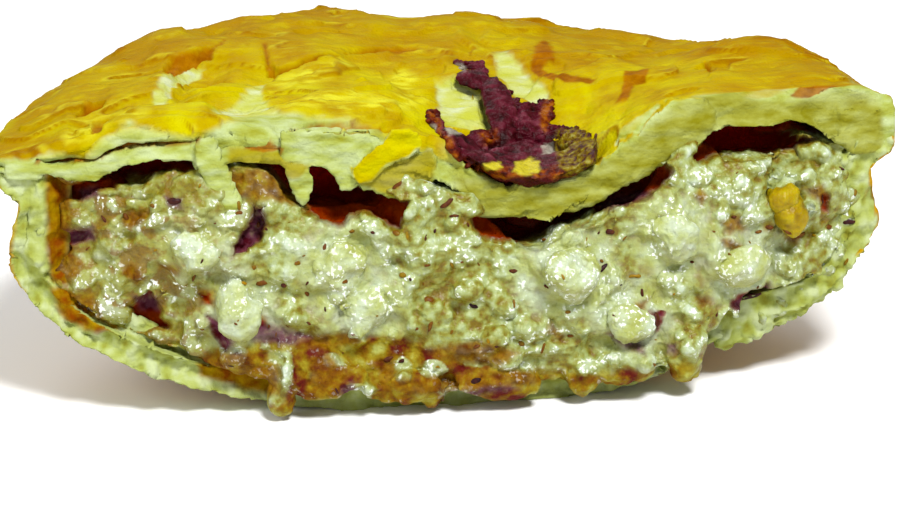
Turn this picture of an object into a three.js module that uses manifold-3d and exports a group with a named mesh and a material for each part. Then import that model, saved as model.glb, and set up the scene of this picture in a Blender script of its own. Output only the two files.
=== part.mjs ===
// Half of a round, hand-sized chicken pie, cut straight down through its middle.
//
// Millimetres, +Z up, standing on its base. The cut face looks along -Y, the round back along +Y.
// Every shape is worked out in pie coordinates: the axis of the whole pie stands at x = 0, y = 0 and
// the knife went along y = 0. Only then is everything bowed forward a little, as the soft cut face is,
// and moved so that the origin lies under the middle of the half, on the table.

import * as THREE from 'three';
import { ImprovedNoise } from 'three/addons/math/ImprovedNoise.js';
import { mergeVertices } from 'three/addons/utils/BufferGeometryUtils.js';
import Module from 'manifold-3d';

// ---------------------------------------------------------------- driving dimensions

const rimRadius = 58;          // outer radius of the crimped rim
const seamHeight = 32.4;       // top of the case, where the lid is sealed to it
const lidPlateau = 37.2;       // general height of the lid above the table
const lidThickness = 4.2;
const wallThickness = 3.3;
const rimWidth = 5.2;          // the wall is this thick where it carries the lid
const cutBow = 5;              // how far the cut face bows forward in the middle
const clearance = 0.35;        // air kept between neighbouring pieces
const innerRadius = rimRadius - rimWidth;

// Outer profile of the case from the axis to the rim, as radius and height: first at the two ends of
// the cut, where the soft half curls up, then at the back, where it keeps the shape of its tin.
const caseProfile = [
  { cut: [0, 0], back: [0, 0] },
  { cut: [17, 0], back: [34, 0] },
  { cut: [27, 1.9], back: [40, 0.5] },
  { cut: [36, 4.7], back: [46, 2.2] },
  { cut: [44, 8], back: [50, 5] },
  { cut: [50, 11.4], back: [53, 9.5] },
  { cut: [54, 15.6], back: [55, 14.5] },
  { cut: [56.6, 20.5], back: [56.6, 20.5] },
  { cut: [55.6, 25], back: [56, 25] },
  { cut: [55.2, 28.4], back: [55.6, 28.4] },
  { cut: [57.6, 30.4], back: [57.6, 30.4] },
  { cut: [rimRadius, seamHeight], back: [rimRadius, seamHeight] },
];
const heelTuck = { x: 38, width: 7, depth: 14, lift: 2.8 };   // base crust pulled up by the cut

// Swellings and hollows of the lid: place, reach along x and y, and height.
const lidSwells = [
  { x: -24, y: 38, reachX: 22, reachY: 17, height: 2.2 },      // blown-up pastry at the back left
  { x: -38, y: 6, reachX: 13, reachY: 13, height: 2.0 },       // arch over the left hollow
  { x: 39, y: 3, reachX: 12, reachY: 15, height: 3.4 },        // arch over the right hollow
  { x: 10, y: 1, reachX: 11.5, reachY: 13, height: -7.6 },     // sunk vent
  { x: 26, y: 44, reachX: 18, reachY: 15, height: -1.8 },      // slack pastry at the back right
];

// Places where the top leaves of the lid have torn off: middle, half length and width, turn, depth.
const lidTears = [
  { x: -32, y: 20, long: 10, wide: 2.7, turn: 70, depth: 1.5 },
  { x: -26, y: 7, long: 8, wide: 3.2, turn: 74, depth: 1.2 },
  { x: 12, y: 18, long: 8, wide: 2.6, turn: -70, depth: 1.1 },
  { x: -14, y: 2, long: 9.5, wide: 4.6, turn: -4, depth: 1.5 },
  { x: -45, y: 6, long: 5, wide: 1.6, turn: 50, depth: 1.1 },
  { x: 47, y: 3, long: 4, wide: 2, turn: 20, depth: 0.9 },
];

// Hollows between lid and filling, open at the cut: middle, half width, and height at the cut.
const hollows = [
  { x: -43, half: 8.5, height: 3.6 },
  { x: -16, half: 9.5, height: 4.6 },
  { x: 9, half: 6, height: 3.4 },
  { x: 20, half: 7.5, height: 3.2 },
  { x: 39, half: 8, height: 4 },
];
const hollowDepth = 11;        // how far the hollows reach in from the cut
const wallGap = { height: 2.6, depth: 10, bottom: 17, top: 31 };   // filling shrunk off the left wall

// Pieces that stand out of the cut face, each as its lobes: place on the face and half sizes across,
// in and up.
const chickenPieces = [
  [
    { x: -15.5, z: 20, half: [3.6, 3.6, 4.6] },
    { x: -12.2, z: 14.2, half: [3.1, 3.2, 3.8] },
  ],
  [{ x: -34, z: 22.6, half: [3.2, 3.2, 2.9] }],
  [{ x: -28.4, z: 14.2, half: [2.9, 3, 4.1] }],
  [{ x: 13.8, z: 18.2, half: [4.6, 3.8, 3.4] }],
  [{ x: 28, z: 22, half: [3.2, 3.1, 3.6] }],
  [{ x: 37.2, z: 17.6, half: [3.5, 3.3, 3.6] }],
  [{ x: 22.4, z: 11.6, half: [3.5, 3, 3.1] }],
];
const carrotPiece = [
  { x: 42.8, z: 26.6, half: [1.7, 1.9, 2.2] },
  { x: 44, z: 23.4, half: [2.1, 2.1, 2.4] },
];

// Filling that hangs over the cut edge of the base: place, and half sizes across, in and up.
const drips = [
  { x: -31.5, z: 9.4, half: [2.5, 1.9, 2.9] },
  { x: -23.2, z: 4.7, half: [1.8, 1.7, 3.8] },
  { x: -17.5, z: 5.6, half: [5.2, 2, 2.6] },
  { x: -7.5, z: 4, half: [5.4, 1.9, 2.3] },
  { x: -3.4, z: 2.6, half: [2, 1.5, 2.1] },
  { x: 4.5, z: 4.1, half: [6.2, 2, 2.5] },
  { x: 15.8, z: 3.6, half: [2.4, 1.7, 2.8] },
  { x: 21.5, z: 5.4, half: [4.6, 2, 3] },
  { x: 29.4, z: 6.6, half: [3.1, 2, 4.4] },
];

// Lumps of meat and thick sauce that the cut face of the filling is made of.
const cobbles = { seed: 4021, count: 120, smallest: 1.7, largest: 4.6, across: 50, low: 5, high: 33 };

// Burnt filling that boiled up through the vent: place in plan, half sizes, height over the lid.
const burntLumps = [
  { x: 9.5, y: 5, half: [6.4, 5.4, 5.6], over: -3.2 },
  { x: 9, y: 1.2, half: [8.6, 4.8, 2], over: 0.5 },
  { x: 16.6, y: 1.2, half: [4.4, 4.2, 1.8], over: 0.3 },
  { x: 1.4, y: 5.2, half: [3.6, 2.6, 1.4], over: 0.3 },
  { x: 7.9, y: 14, half: [2.7, 7.4, 1.9], over: 0.6 },
  { x: 5.4, y: 20.2, half: [3, 2.7, 1.4], over: 0.5 },
];

// ---------------------------------------------------------------- numbers that vary smoothly

const noiseField = new ImprovedNoise();

// A smooth value between about -1 and 1 that changes over `size` millimetres.
function wander(x, y, z, size) {
  return 1.6 * noiseField.noise(x / size + 31.3, y / size + 17.7, z / size + 5.1);
}

// A repeatable stream of numbers between 0 and 1.
function seededDraws(seed) {
  let state = seed;
  return () => {
    state = (state * 16807) % 2147483647;
    return state / 2147483647;
  };
}

function smooth(value, low, high) {
  return THREE.MathUtils.smoothstep(value, low, high);
}

function bell(distance, reach) {
  return Math.exp(-((distance / reach) ** 2));
}

// ---------------------------------------------------------------- surfaces of the pie

// How far the soft half is pushed forward at a place in plan.
function bowAt(x, y) {
  const across = Math.max(0, 1 - (x / rimRadius) ** 2);
  const inwards = Math.max(0, 1 - Math.max(y, 0) / rimRadius) ** 2;
  return cutBow * across * inwards;
}

function tornDepth(x, y) {
  let depth = 0;
  for (const tear of lidTears) {
    const turn = THREE.MathUtils.degToRad(tear.turn);
    const along = (x - tear.x) * Math.cos(turn) + (y - tear.y) * Math.sin(turn);
    const aside = (y - tear.y) * Math.cos(turn) - (x - tear.x) * Math.sin(turn);
    const reach = Math.hypot(along / tear.long, aside / tear.wide) + 0.25 * wander(x, y, 0, 4);
    depth = Math.max(depth, tear.depth * (1 - smooth(reach, 0.75, 1.15)));
  }
  return depth;
}

function lidSwell(x, y) {
  let height = 0;
  for (const swell of lidSwells) {
    height += swell.height * bell(x - swell.x, swell.reachX) * bell(y - swell.y, swell.reachY);
  }
  return height;
}

function lidTop(x, y) {
  const radius = Math.hypot(x, y);
  const edge = smooth(radius, rimRadius - 7, rimRadius);
  const leaf = 0.35 * Math.sign(wander(x, y, 9, 12)) * smooth(Math.abs(wander(x, y, 9, 12)), 0.02, 0.1);
  const rough = 0.7 * wander(x, y, 2, 10) + leaf - tornDepth(x, y);
  return lidPlateau + lidSwell(x, y) + rough - 1.6 * edge ** 2;
}

function lidUnder(x, y) {
  const onRim = smooth(Math.hypot(x, y), innerRadius - 8, innerRadius - 3);
  const free = lidPlateau - lidThickness + lidSwell(x, y) + 0.35 * wander(x, y, 5, 8);
  return THREE.MathUtils.lerp(free, seamHeight + clearance, onRim);
}

// Splines of the case profile, at the ends of the cut and at the back.
const profileAtCut = new THREE.SplineCurve(caseProfile.map((row) => new THREE.Vector2(...row.cut)));
const profileAtBack = new THREE.SplineCurve(caseProfile.map((row) => new THREE.Vector2(...row.back)));

// Radius and height on the outside of the case, and the direction that faces out of the pastry.
function caseOutside(along, angle) {
  const back = Math.sin(angle) ** 2;
  const spot = profileAtCut.getPoint(along).lerp(profileAtBack.getPoint(along), back);
  const ahead = profileAtCut.getTangent(along).lerp(profileAtBack.getTangent(along), back).normalize();
  spot.y = Math.max(spot.y, 0);
  return { spot, outward: new THREE.Vector2(ahead.y, -ahead.x) };
}

// The same for a surface at a depth inside the outside of the case. The top of the wall is level.
function caseAtDepth(along, angle, depth) {
  const { spot, outward } = caseOutside(along, angle);
  const atRim = smooth(along, 0.75, 0.95);
  outward.lerp(new THREE.Vector2(1, 0), atRim).normalize();
  spot.addScaledVector(outward, -depth * (1 + atRim * (rimWidth / wallThickness - 1)));
  spot.x = Math.max(spot.x, 0);
  return spot;
}

// Height of the crust's inner face beside the cut, at a distance across from the axis.
function crustFloor(x) {
  const steps = 80;
  for (let step = 0; step < steps; step += 1) {
    const spot = caseAtDepth(step / steps, 0, wallThickness);
    if (spot.x >= Math.abs(x)) return spot.y;
  }
  return seamHeight;
}

// Angles round the pie from one end of the cut to the other, closer together beside the cut.
function fannedAngle(u) {
  return Math.PI * u - 0.28 * Math.sin(2 * Math.PI * u);
}

// The base crust is tucked up behind the cut at one place.
function heelLift(x, y, z) {
  const reach = bell(x - heelTuck.x, heelTuck.width) * (1 - smooth(y, 0, heelTuck.depth));
  return heelTuck.lift * reach * (1 - smooth(z, 12, 20));
}

// ---------------------------------------------------------------- building solids

// The skin of a block of cells, each corner put in place by `place(u, v, w)` with u, v, w from 0 to 1.
function blockGeometry(cells, place) {
  const [countU, countV, countW] = cells;
  const positions = [];
  const corner = (u, v, w) => positions.push(...place(u / countU, v / countV, w / countW));
  const face = (countA, countB, at) => {
    for (let a = 0; a < countA; a += 1) {
      for (let b = 0; b < countB; b += 1) {
        const ring = [at(a, b), at(a + 1, b), at(a + 1, b + 1), at(a, b + 1)];
        const order = (a + b) % 2 ? [0, 1, 2, 0, 2, 3] : [0, 1, 3, 1, 2, 3];
        order.forEach((index) => corner(...ring[index]));
      }
    }
  };
  face(countU, countV, (a, b) => [a, b, countW]);
  face(countV, countU, (a, b) => [b, a, 0]);
  face(countV, countW, (a, b) => [countU, a, b]);
  face(countW, countV, (a, b) => [0, b, a]);
  face(countW, countU, (a, b) => [b, countV, a]);
  face(countU, countW, (a, b) => [a, 0, b]);
  const geometry = new THREE.BufferGeometry();
  geometry.setAttribute('position', new THREE.Float32BufferAttribute(positions, 3));
  return geometry;
}

// A rounded, uneven lump.
function lumpGeometry({ centre, half, seed, detail = 1, unevenness = 0.14 }) {
  const geometry = new THREE.IcosahedronGeometry(1, detail);
  const spots = geometry.attributes.position;
  const spot = new THREE.Vector3();
  for (let index = 0; index < spots.count; index += 1) {
    spot.fromBufferAttribute(spots, index);
    const swell = 1 + unevenness * wander(spot.x + seed, spot.y + 2 * seed, spot.z, 0.8);
    spots.setXYZ(
      index,
      centre[0] + half[0] * spot.x * swell,
      centre[1] + half[1] * spot.y * swell,
      centre[2] + half[2] * spot.z * swell,
    );
  }
  return geometry;
}

const wasm = await Module();
wasm.setup();

// A closed geometry as a solid: corners that coincide become one, and collapsed faces are dropped.
function solidFrom(geometry) {
  const bare = new THREE.BufferGeometry();
  bare.setAttribute('position', geometry.attributes.position);
  if (geometry.index) bare.setIndex(geometry.index);
  const merged = mergeVertices(bare, 1e-4);
  const triangles = [];
  for (let index = 0; index < merged.index.count; index += 3) {
    const [a, b, c] = [0, 1, 2].map((step) => merged.index.getX(index + step));
    if (a !== b && b !== c && c !== a) triangles.push(a, b, c);
  }
  return new wasm.Manifold(new wasm.Mesh({
    numProp: 3,
    vertProperties: new Float32Array(merged.attributes.position.array),
    triVerts: new Uint32Array(triangles),
  }));
}

function joined(solids) {
  return solids.reduce((whole, solid) => whole.add(solid));
}

// Only the largest piece of a solid that a cut may have broken up.
function largestPiece(solid) {
  return solid.decompose().reduce((best, piece) => (piece.volume() > best.volume() ? piece : best));
}

function geometryFrom(solid) {
  const { vertProperties, triVerts, numProp } = solid.getMesh();
  const positions = new Float32Array((vertProperties.length / numProp) * 3);
  for (let index = 0; index < positions.length / 3; index += 1) {
    positions.set(vertProperties.subarray(index * numProp, index * numProp + 3), index * 3);
  }
  const geometry = new THREE.BufferGeometry();
  geometry.setAttribute('position', new THREE.BufferAttribute(positions, 3));
  geometry.setIndex(new THREE.BufferAttribute(new Uint32Array(triVerts), 1));
  return geometry;
}

// ---------------------------------------------------------------- pastry case

// How far the cut edge of the pastry stands out: leaves of pastry with ragged gaps between them.
function leafEdge(x, across, leaves) {
  const ridge = Math.cos(across * leaves * Math.PI * 2) * (0.45 + 0.3 * wander(x, across * 9, 3, 6));
  return ridge + 0.5 * wander(x, across * 20, 8, 3.5);
}

// The pale leaves of the base crust that stick out at the left.
function slabForward(x) {
  return 2.2 * bell(x + 41, 9);
}

function caseSolid() {
  const cells = [22, 26, 3];
  return solidFrom(blockGeometry(cells, (u, v, w) => {
    const angle = fannedAngle(u);
    const { x: radius, y: height } = caseAtDepth(v, angle, (1 - w) * wallThickness);
    const x = radius * Math.cos(angle);
    const y = radius * Math.sin(angle);
    const rough = w === 1 ? 0.4 * wander(x, y, height, 7) * smooth(height, 1, 8) * (v < 1) : 0;
    const onCut = u === 0 || u === 1 || v === 0;
    const slab = slabForward(x) * (1 - smooth(height, 12, 18));
    const forward = onCut ? leafEdge(x + height, w, 1) + slab : 0;
    return [
      x + rough * Math.cos(angle),
      (onCut ? 0 : y + rough * Math.sin(angle)) - forward,
      height + heelLift(x, y, height),
    ];
  }));
}

// ---------------------------------------------------------------- pastry lid

function lidSolid() {
  const cells = [40, 13, 4];
  return solidFrom(blockGeometry(cells, (u, v, w) => {
    const turn = v * Math.PI / 2;
    const side = 2 * u - 1;
    const across = side * Math.cos(turn);
    const ragged = 0.5 * wander(across * rimRadius, v * rimRadius, w * 3, 6);
    const swollen = rimRadius + 0.5 * Math.sin(w * Math.PI) + ragged;
    const x = swollen * across;
    const y = swollen * Math.sin(turn);
    const low = lidUnder(x, y);
    const high = lidTop(x, y);
    const free = 1 - smooth(Math.abs(side), 0.74, 0.84);
    const torn = v === 0 ? leafEdge(x, w, 1.5) + 1.4 * (0.4 - w) * free : 0;
    const hanging = v === 0 && w === 0 ? free * Math.max(0, 1.6 * wander(x, 0, 40, 4.5)) : 0;
    return [x, y - torn, THREE.MathUtils.lerp(low, high, w) - hanging];
  }));
}

// ---------------------------------------------------------------- filling

// Height of the free air between lid and filling.
function hollowHeight(x, y) {
  let height = 0;
  for (const hollow of hollows) {
    const across = 1 - smooth(Math.abs(x - hollow.x), 0.45 * hollow.half, hollow.half);
    height = Math.max(height, hollow.height * across);
  }
  return height * (1 - smooth(y, 0.35 * hollowDepth, hollowDepth));
}

const cobbleLumps = (() => {
  const draw = seededDraws(cobbles.seed);
  return Array.from({ length: cobbles.count }, () => ({
    x: (2 * draw() - 1) * cobbles.across,
    z: THREE.MathUtils.lerp(cobbles.low, cobbles.high, draw()),
    reach: THREE.MathUtils.lerp(cobbles.smallest, cobbles.largest, draw() ** 2),
  }));
})();

function cobbleHeight(x, z) {
  let height = 0;
  for (const lump of cobbleLumps) {
    const inside = 1 - ((x - lump.x) ** 2 + (z - lump.z) ** 2) / lump.reach ** 2;
    if (inside > 0) height = Math.max(height, 0.55 * lump.reach * Math.sqrt(inside));
  }
  return height;
}

// How far the cut face of the filling bulges out in front of the pastry.
function fillingBulge(x, z) {
  const middle = 1 - smooth(Math.abs(x - 1), 26, 50);
  const low = 1 - smooth(z, 20, 31);
  return 3 * middle * (0.35 + 0.65 * low) + cobbleHeight(x, z) - 0.3;
}

// The cut face at a place on it, in front of which lumps stand.
function faceAt(x, z) {
  return -fillingBulge(x, z);
}

function fillingCore() {
  const cells = [13, 24, 11];
  const depth = wallThickness + 1.6 * clearance;
  return solidFrom(blockGeometry(cells, (u, v, w) => {
    const angle = fannedAngle(u);
    const shell = caseAtDepth(v, angle, depth);
    const radius = THREE.MathUtils.lerp(v * (innerRadius - clearance), shell.x, w);
    const x = radius * Math.cos(angle);
    const y = radius * Math.sin(angle);
    const floor = shell.y + 1.15 * heelLift(x, y, shell.y);
    const slack = clearance * (2 + 3 * smooth(y, 3, 12));
    const roof = Math.max(lidUnder(x, y) - slack - hollowHeight(x, y), floor + 0.2);
    const z = THREE.MathUtils.lerp(roof, floor, w);
    const beside = smooth(z, wallGap.bottom, wallGap.bottom + 3) * (1 - smooth(z, wallGap.top, 33));
    const shrunk = x < 0 ? wallGap.height * beside * (1 - smooth(y, 2, wallGap.depth)) : 0;
    const inset = shrunk * smooth(radius, innerRadius - 12, innerRadius - 3);
    const onCut = u === 0 || u === 1 || v === 0;
    return [x + inset, onCut ? faceAt(x, z) : y, z];
  }));
}

// Whether a lump of the cut face stays clear of crust, lid and hollows.
function roomFor(x, z, half) {
  const outwards = Math.abs(x) + half;
  const below = Math.max(crustFloor(outwards), crustFloor(x) + heelLift(x, 0, 0));
  const above = Math.min(lidUnder(x - half, 0), lidUnder(x + half, 0)) - hollowHeight(x, 0);
  return z - half > below + clearance && z + half < above - clearance;
}

// Small lumps of sauce and meat all over the cut face, where there is room for them.
function fillingLumps() {
  const draw = seededDraws(20251);
  const lumps = [];
  for (let tries = 0; tries < 150 && lumps.length < 6; tries += 1) {
    const x = (draw() * 2 - 1) * 47;
    const z = 6 + draw() * 26;
    const half = 1.7 + 0.9 * draw();
    const nearPiece = [...chickenPieces, carrotPiece].flat().some(
      (piece) => Math.hypot(x - piece.x, z - piece.z) < half + 0.8 * piece.half[0] + 1,
    );
    if (!nearPiece && roomFor(x, z, half + 0.5)) {
      const centre = [x, faceAt(x, z) + 0.3 * half, z];
      lumps.push(lumpGeometry({ centre, half: [half * 1.2, half, half], seed: tries, detail: 1 }));
    }
  }
  return lumps;
}

// One lobe of a piece that stands out of the cut face. A pocket for it is larger and has fewer faces.
function faceLobe({ x, z, half }, seed, isPocket) {
  return lumpGeometry({
    centre: [x, faceAt(x, z) + 0.35 * half[1], z],
    half: half.map((size) => size + (isPocket ? 2 * clearance : 0)),
    seed,
    detail: isPocket || half[0] < 2.5 ? 1 : 2,
    unevenness: 0.16,
  });
}

function dripSolid({ x, z, half }, seed) {
  const front = -(1.4 + slabForward(x) + clearance + half[1]);
  return solidFrom(lumpGeometry({ centre: [x, front, z], half, seed, unevenness: 0.06 }));
}

// The burnt filling follows the slope of the lid that it ran over.
function burntSolid(extra = 0, lumps = burntLumps) {
  return joined(lumps.map(({ x, y, half, over }, index) => {
    const lump = lumpGeometry({
      centre: [x, y, over],
      half: half.map((size) => size + extra),
      seed: 60 + index,
      unevenness: 0.1,
    });
    const spots = lump.attributes.position;
    for (let corner = 0; corner < spots.count; corner += 1) {
      const slope = lidPlateau + lidSwell(spots.getX(corner), spots.getY(corner));
      spots.setZ(corner, spots.getZ(corner) + slope);
    }
    return solidFrom(lump);
  }));
}

function pieceSolid(lobes, seed, isPocket = false) {
  return joined(lobes.map((lobe, index) => solidFrom(faceLobe(lobe, seed + index, isPocket))));
}

const chickenSeed = 100;
const carrotSeed = 140;

function fillingSolid() {
  const whole = joined([
    fillingCore(),
    ...fillingLumps().map(solidFrom),
    ...drips.map((drip, index) => dripSolid(drip, 80 + index)),
  ]);
  const pockets = joined([
    ...chickenPieces.map((lobes, index) => pieceSolid(lobes, chickenSeed + 3 * index, true)),
    pieceSolid(carrotPiece, carrotSeed, true),
    burntSolid(clearance, burntLumps.slice(0, 3)),
  ]);
  return largestPiece(whole.subtract(pockets));
}

// ---------------------------------------------------------------- finishes

function finish(color, roughness) {
  return new THREE.MeshStandardMaterial({ color, roughness, metalness: 0 });
}

const finishes = {
  pastryCase: finish('#c9b04a', 0.75),
  pastryLid: finish('#d6b322', 0.6),
  filling: finish('#b9bf8a', 0.4),
  chicken: finish('#d2dbab', 0.45),
  carrot: finish('#d89a12', 0.4),
  burnt: finish('#5a2330', 0.5),
};

// ---------------------------------------------------------------- the half pie

const pie = new THREE.Group();

function addPiece(name, solid, material) {
  const geometry = geometryFrom(solid);
  const spots = geometry.attributes.position;
  for (let index = 0; index < spots.count; index += 1) {
    const y = spots.getY(index);
    spots.setY(index, y - bowAt(spots.getX(index), y));
  }
  geometry.computeVertexNormals();
  const mesh = new THREE.Mesh(geometry, material);
  mesh.name = name;
  pie.add(mesh);
}

addPiece('pastry_case', caseSolid(), finishes.pastryCase);
addPiece('pastry_lid', largestPiece(lidSolid().subtract(burntSolid(clearance))), finishes.pastryLid);
addPiece('filling', fillingSolid(), finishes.filling);
chickenPieces.forEach((lobes, index) => {
  addPiece(`chicken_${index + 1}`, pieceSolid(lobes, chickenSeed + 3 * index), finishes.chicken);
});
addPiece('carrot', pieceSolid(carrotPiece, carrotSeed), finishes.carrot);
addPiece('burnt_filling', burntSolid(), finishes.burnt);

// The origin goes under the middle of the half, level with the flat of its base.
const extent = new THREE.Box3().setFromObject(pie);
const middle = extent.getCenter(new THREE.Vector3());
for (const mesh of pie.children) {
  mesh.geometry.translate(-middle.x, -middle.y, -extent.min.z);
}

export default pie;
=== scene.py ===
# %% [markdown]
# # Half of a chicken pie
#
# A round, single-serving pie was cut through its middle, and this half stands with its cut face to
# the viewer: a golden lid of flaky pastry, a thin pastry case, and a lumpy, creamy chicken filling
# that bulges out of the cut. The solids that carry the real sizes are loaded first and never
# change. Each is copied, given a finer skin, and then crumpled, torn and browned like the real
# food.

# %% Load the model that carries the sizes
import math
import bmesh
import bpy
import numpy as np
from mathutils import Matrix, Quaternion, Vector
from mathutils.bvhtree import BVHTree


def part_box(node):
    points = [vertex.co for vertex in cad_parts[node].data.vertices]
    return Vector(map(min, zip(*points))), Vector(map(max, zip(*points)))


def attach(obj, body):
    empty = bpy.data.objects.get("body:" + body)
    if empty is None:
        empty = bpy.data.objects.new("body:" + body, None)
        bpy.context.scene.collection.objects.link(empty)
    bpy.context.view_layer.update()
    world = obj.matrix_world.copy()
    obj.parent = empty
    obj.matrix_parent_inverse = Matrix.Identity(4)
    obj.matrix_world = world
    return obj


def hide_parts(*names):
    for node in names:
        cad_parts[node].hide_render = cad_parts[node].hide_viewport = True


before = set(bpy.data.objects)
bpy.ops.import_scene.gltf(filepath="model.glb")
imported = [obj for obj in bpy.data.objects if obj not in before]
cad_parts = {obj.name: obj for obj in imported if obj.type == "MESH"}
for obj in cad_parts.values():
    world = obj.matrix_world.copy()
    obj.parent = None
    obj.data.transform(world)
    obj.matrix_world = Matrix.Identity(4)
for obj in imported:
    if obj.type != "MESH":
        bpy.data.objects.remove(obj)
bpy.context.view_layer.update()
MM = 0.001
print("nodes:", sorted(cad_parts))

# %% [markdown]
# ## Where things are
#
# The pie was round, so its axis is a handy place to measure from. The rim of the case is 58 mm from
# that axis, and the back of the case is a whole rim radius behind it, so the case's box tells where
# the axis stands. Typing its place in would work too, but the box follows if the model ever moves.
# The soft cut face bows forward by 5 mm in its middle.

# %% Sizes of the pie
RIM_RADIUS = 58 * MM
CUT_BOW = 5 * MM
axis_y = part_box("pastry_case")[1].y - RIM_RADIUS
print("axis of the pie at y =", round(axis_y / MM, 1), "mm")


def cut_line(x):
    """Where the knife went, for one x or an array of them."""
    return axis_y - CUT_BOW * np.clip(1 - (x / RIM_RADIUS) ** 2, 0, 1)


# %% [markdown]
# ## The camera
#
# The pie is seen from close by, a little from the left and from 18 degrees above, so that the cut
# face and the lid both show. Those two angles give a direction from the pie, and the camera stands
# 40 cm along it. Its place could be typed in as three numbers, but two angles are easier to judge
# from a picture. It is tipped a little below the spot it is set for, so that the pie comes out in
# the upper part of the picture, as in the photograph.

# %% Camera
IMAGE_WIDTH, IMAGE_HEIGHT = 900, 532
VIEW_TURN, VIEW_RISE = math.radians(-8), math.radians(18)
VIEW_DISTANCE = 0.400
PIXELS_PER_RADIAN = 3100
AIM_PIXEL_ROW = 200
aimed_at = Vector((0, axis_y, 26.1 * MM))
away = Vector((
    math.sin(VIEW_TURN) * math.cos(VIEW_RISE),
    -math.cos(VIEW_TURN) * math.cos(VIEW_RISE),
    math.sin(VIEW_RISE),
))
camera_spot = aimed_at + away * VIEW_DISTANCE
dip = math.atan((IMAGE_HEIGHT / 2 - AIM_PIXEL_ROW) / PIXELS_PER_RADIAN)
level_right = Vector((math.cos(VIEW_TURN), math.sin(VIEW_TURN), 0))
forward = (-away * math.cos(dip) - away.cross(level_right) * math.sin(dip)).normalized()
lens_up = level_right.cross(forward).normalized()

bpy.ops.object.camera_add(location=camera_spot)
camera = bpy.context.object
camera.name = "view_camera"
camera.rotation_mode = "QUATERNION"
camera.rotation_quaternion = forward.to_track_quat("-Z", "Y")
camera.data.sensor_width = 36
camera.data.lens = camera.data.sensor_width * PIXELS_PER_RADIAN / IMAGE_WIDTH
camera.data.clip_start, camera.data.clip_end = 0.01, 20
bpy.context.scene.camera = camera
print("lens", round(camera.data.lens, 1), "mm")


def picture_place(points):
    """Column and row in the picture for an array of points."""
    offset = points - np.array(camera_spot)
    depth = offset @ np.array(forward)
    column = IMAGE_WIDTH / 2 + PIXELS_PER_RADIAN * (offset @ np.array(level_right)) / depth
    row = IMAGE_HEIGHT / 2 - PIXELS_PER_RADIAN * (offset @ np.array(lens_up)) / depth
    return column, row


def sight_line(column, row):
    """Direction from the camera through a place in the picture."""
    aside = (column - IMAGE_WIDTH / 2) / PIXELS_PER_RADIAN
    rise = (IMAGE_HEIGHT / 2 - row) / PIXELS_PER_RADIAN
    return (forward + level_right * aside + lens_up * rise).normalized()


# %% [markdown]
# ## Helpers for soft, uneven shapes
#
# Food has no straight line in it. Two kinds of unevenness do most of the work: a smooth random
# value in space, which swells and wrinkles a skin, and round cells packed side by side, which make
# lumps. Blender's Displace modifier with its own procedural textures gives both, and what only
# needs a few numbers for each corner is worked out with arrays.

# %% Smooth random values
LATTICE_SEED = 11
SCATTER_X, SCATTER_Y, SCATTER_Z = 73856093, 19349663, 83492791
lattice = np.random.default_rng(LATTICE_SEED).uniform(-1, 1, 4096)


def lattice_value(cell):
    """A fixed random number for each whole-numbered cell."""
    mixed = cell[:, 0] * SCATTER_X ^ cell[:, 1] * SCATTER_Y ^ cell[:, 2] * SCATTER_Z
    return lattice[mixed % len(lattice)]


def wander(points, size, seed=0.0):
    """A value between -1 and 1 that changes smoothly over `size`, which may differ by direction."""
    spot = points / np.asarray(size) + seed
    cell = np.floor(spot).astype(np.int64)
    part = spot - cell
    part = part * part * (3 - 2 * part)
    total = np.zeros(len(points))
    for corner in np.ndindex(2, 2, 2):
        weight = np.prod(np.where(corner, part, 1 - part), axis=1)
        total += weight * lattice_value(cell + np.array(corner))
    return total


def rough(points, size, seed=0.0, layers=3):
    """Several layers of wandering values, each half as large as the one before."""
    total = np.zeros(len(points))
    for layer in range(layers):
        total += wander(points, np.asarray(size) / 2**layer, seed + 7.3 * layer) / 2**layer
    return total / 1.6


def ease(value, low, high):
    """Zero below low, one above high, smooth in between."""
    part = np.clip((value - low) / (high - low), 0, 1)
    return part * part * (3 - 2 * part)


# %% [markdown]
# ### Corners as arrays
#
# Blender hands over all corners of a mesh in one go, which is far quicker than a loop over them. A
# number kept on each corner can steer a modifier, as a vertex group, or a finish, as an attribute.

# %% Working on a mesh with arrays
def corners_of(piece):
    places = np.empty(len(piece.data.vertices) * 3)
    piece.data.vertices.foreach_get("co", places)
    return places.reshape(-1, 3)


def facing_of(piece):
    facing = np.empty(len(piece.data.vertices) * 3)
    piece.data.vertices.foreach_get("normal", facing)
    return facing.reshape(-1, 3)


def move_corners(piece, places):
    piece.data.vertices.foreach_set("co", places.ravel())
    piece.data.update()


def paint(piece, name, values):
    """Keep one number for each corner, for the finishes to read."""
    layer = piece.data.attributes.get(name) or piece.data.attributes.new(name, "FLOAT", "POINT")
    layer.data.foreach_set("value", np.clip(values, 0, 1).astype(np.float32))


def limit_to(piece, name, values):
    """A vertex group, which tells a modifier how strongly to act at each corner, in tenths."""
    group = piece.vertex_groups.new(name=name)
    for level in range(1, 11):
        chosen = np.flatnonzero(np.round(values * 10) == level)
        group.add([int(index) for index in chosen], level / 10, "REPLACE")


# %% [markdown]
# ### Modifiers, kept at once
#
# An operator acts on everything that is chosen, so each step first lets go of all but one object.
# Displace pushes a skin in and out by a pattern. Clouds look like dough, and Voronoi cells like
# lumps. A modifier could stay live, but later steps ask where the corners have gone, so each is
# applied.

# %% Making one object the only chosen one
def pick(piece):
    bpy.ops.object.select_all(action="DESELECT")
    piece.select_set(True)
    bpy.context.view_layer.objects.active = piece


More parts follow.
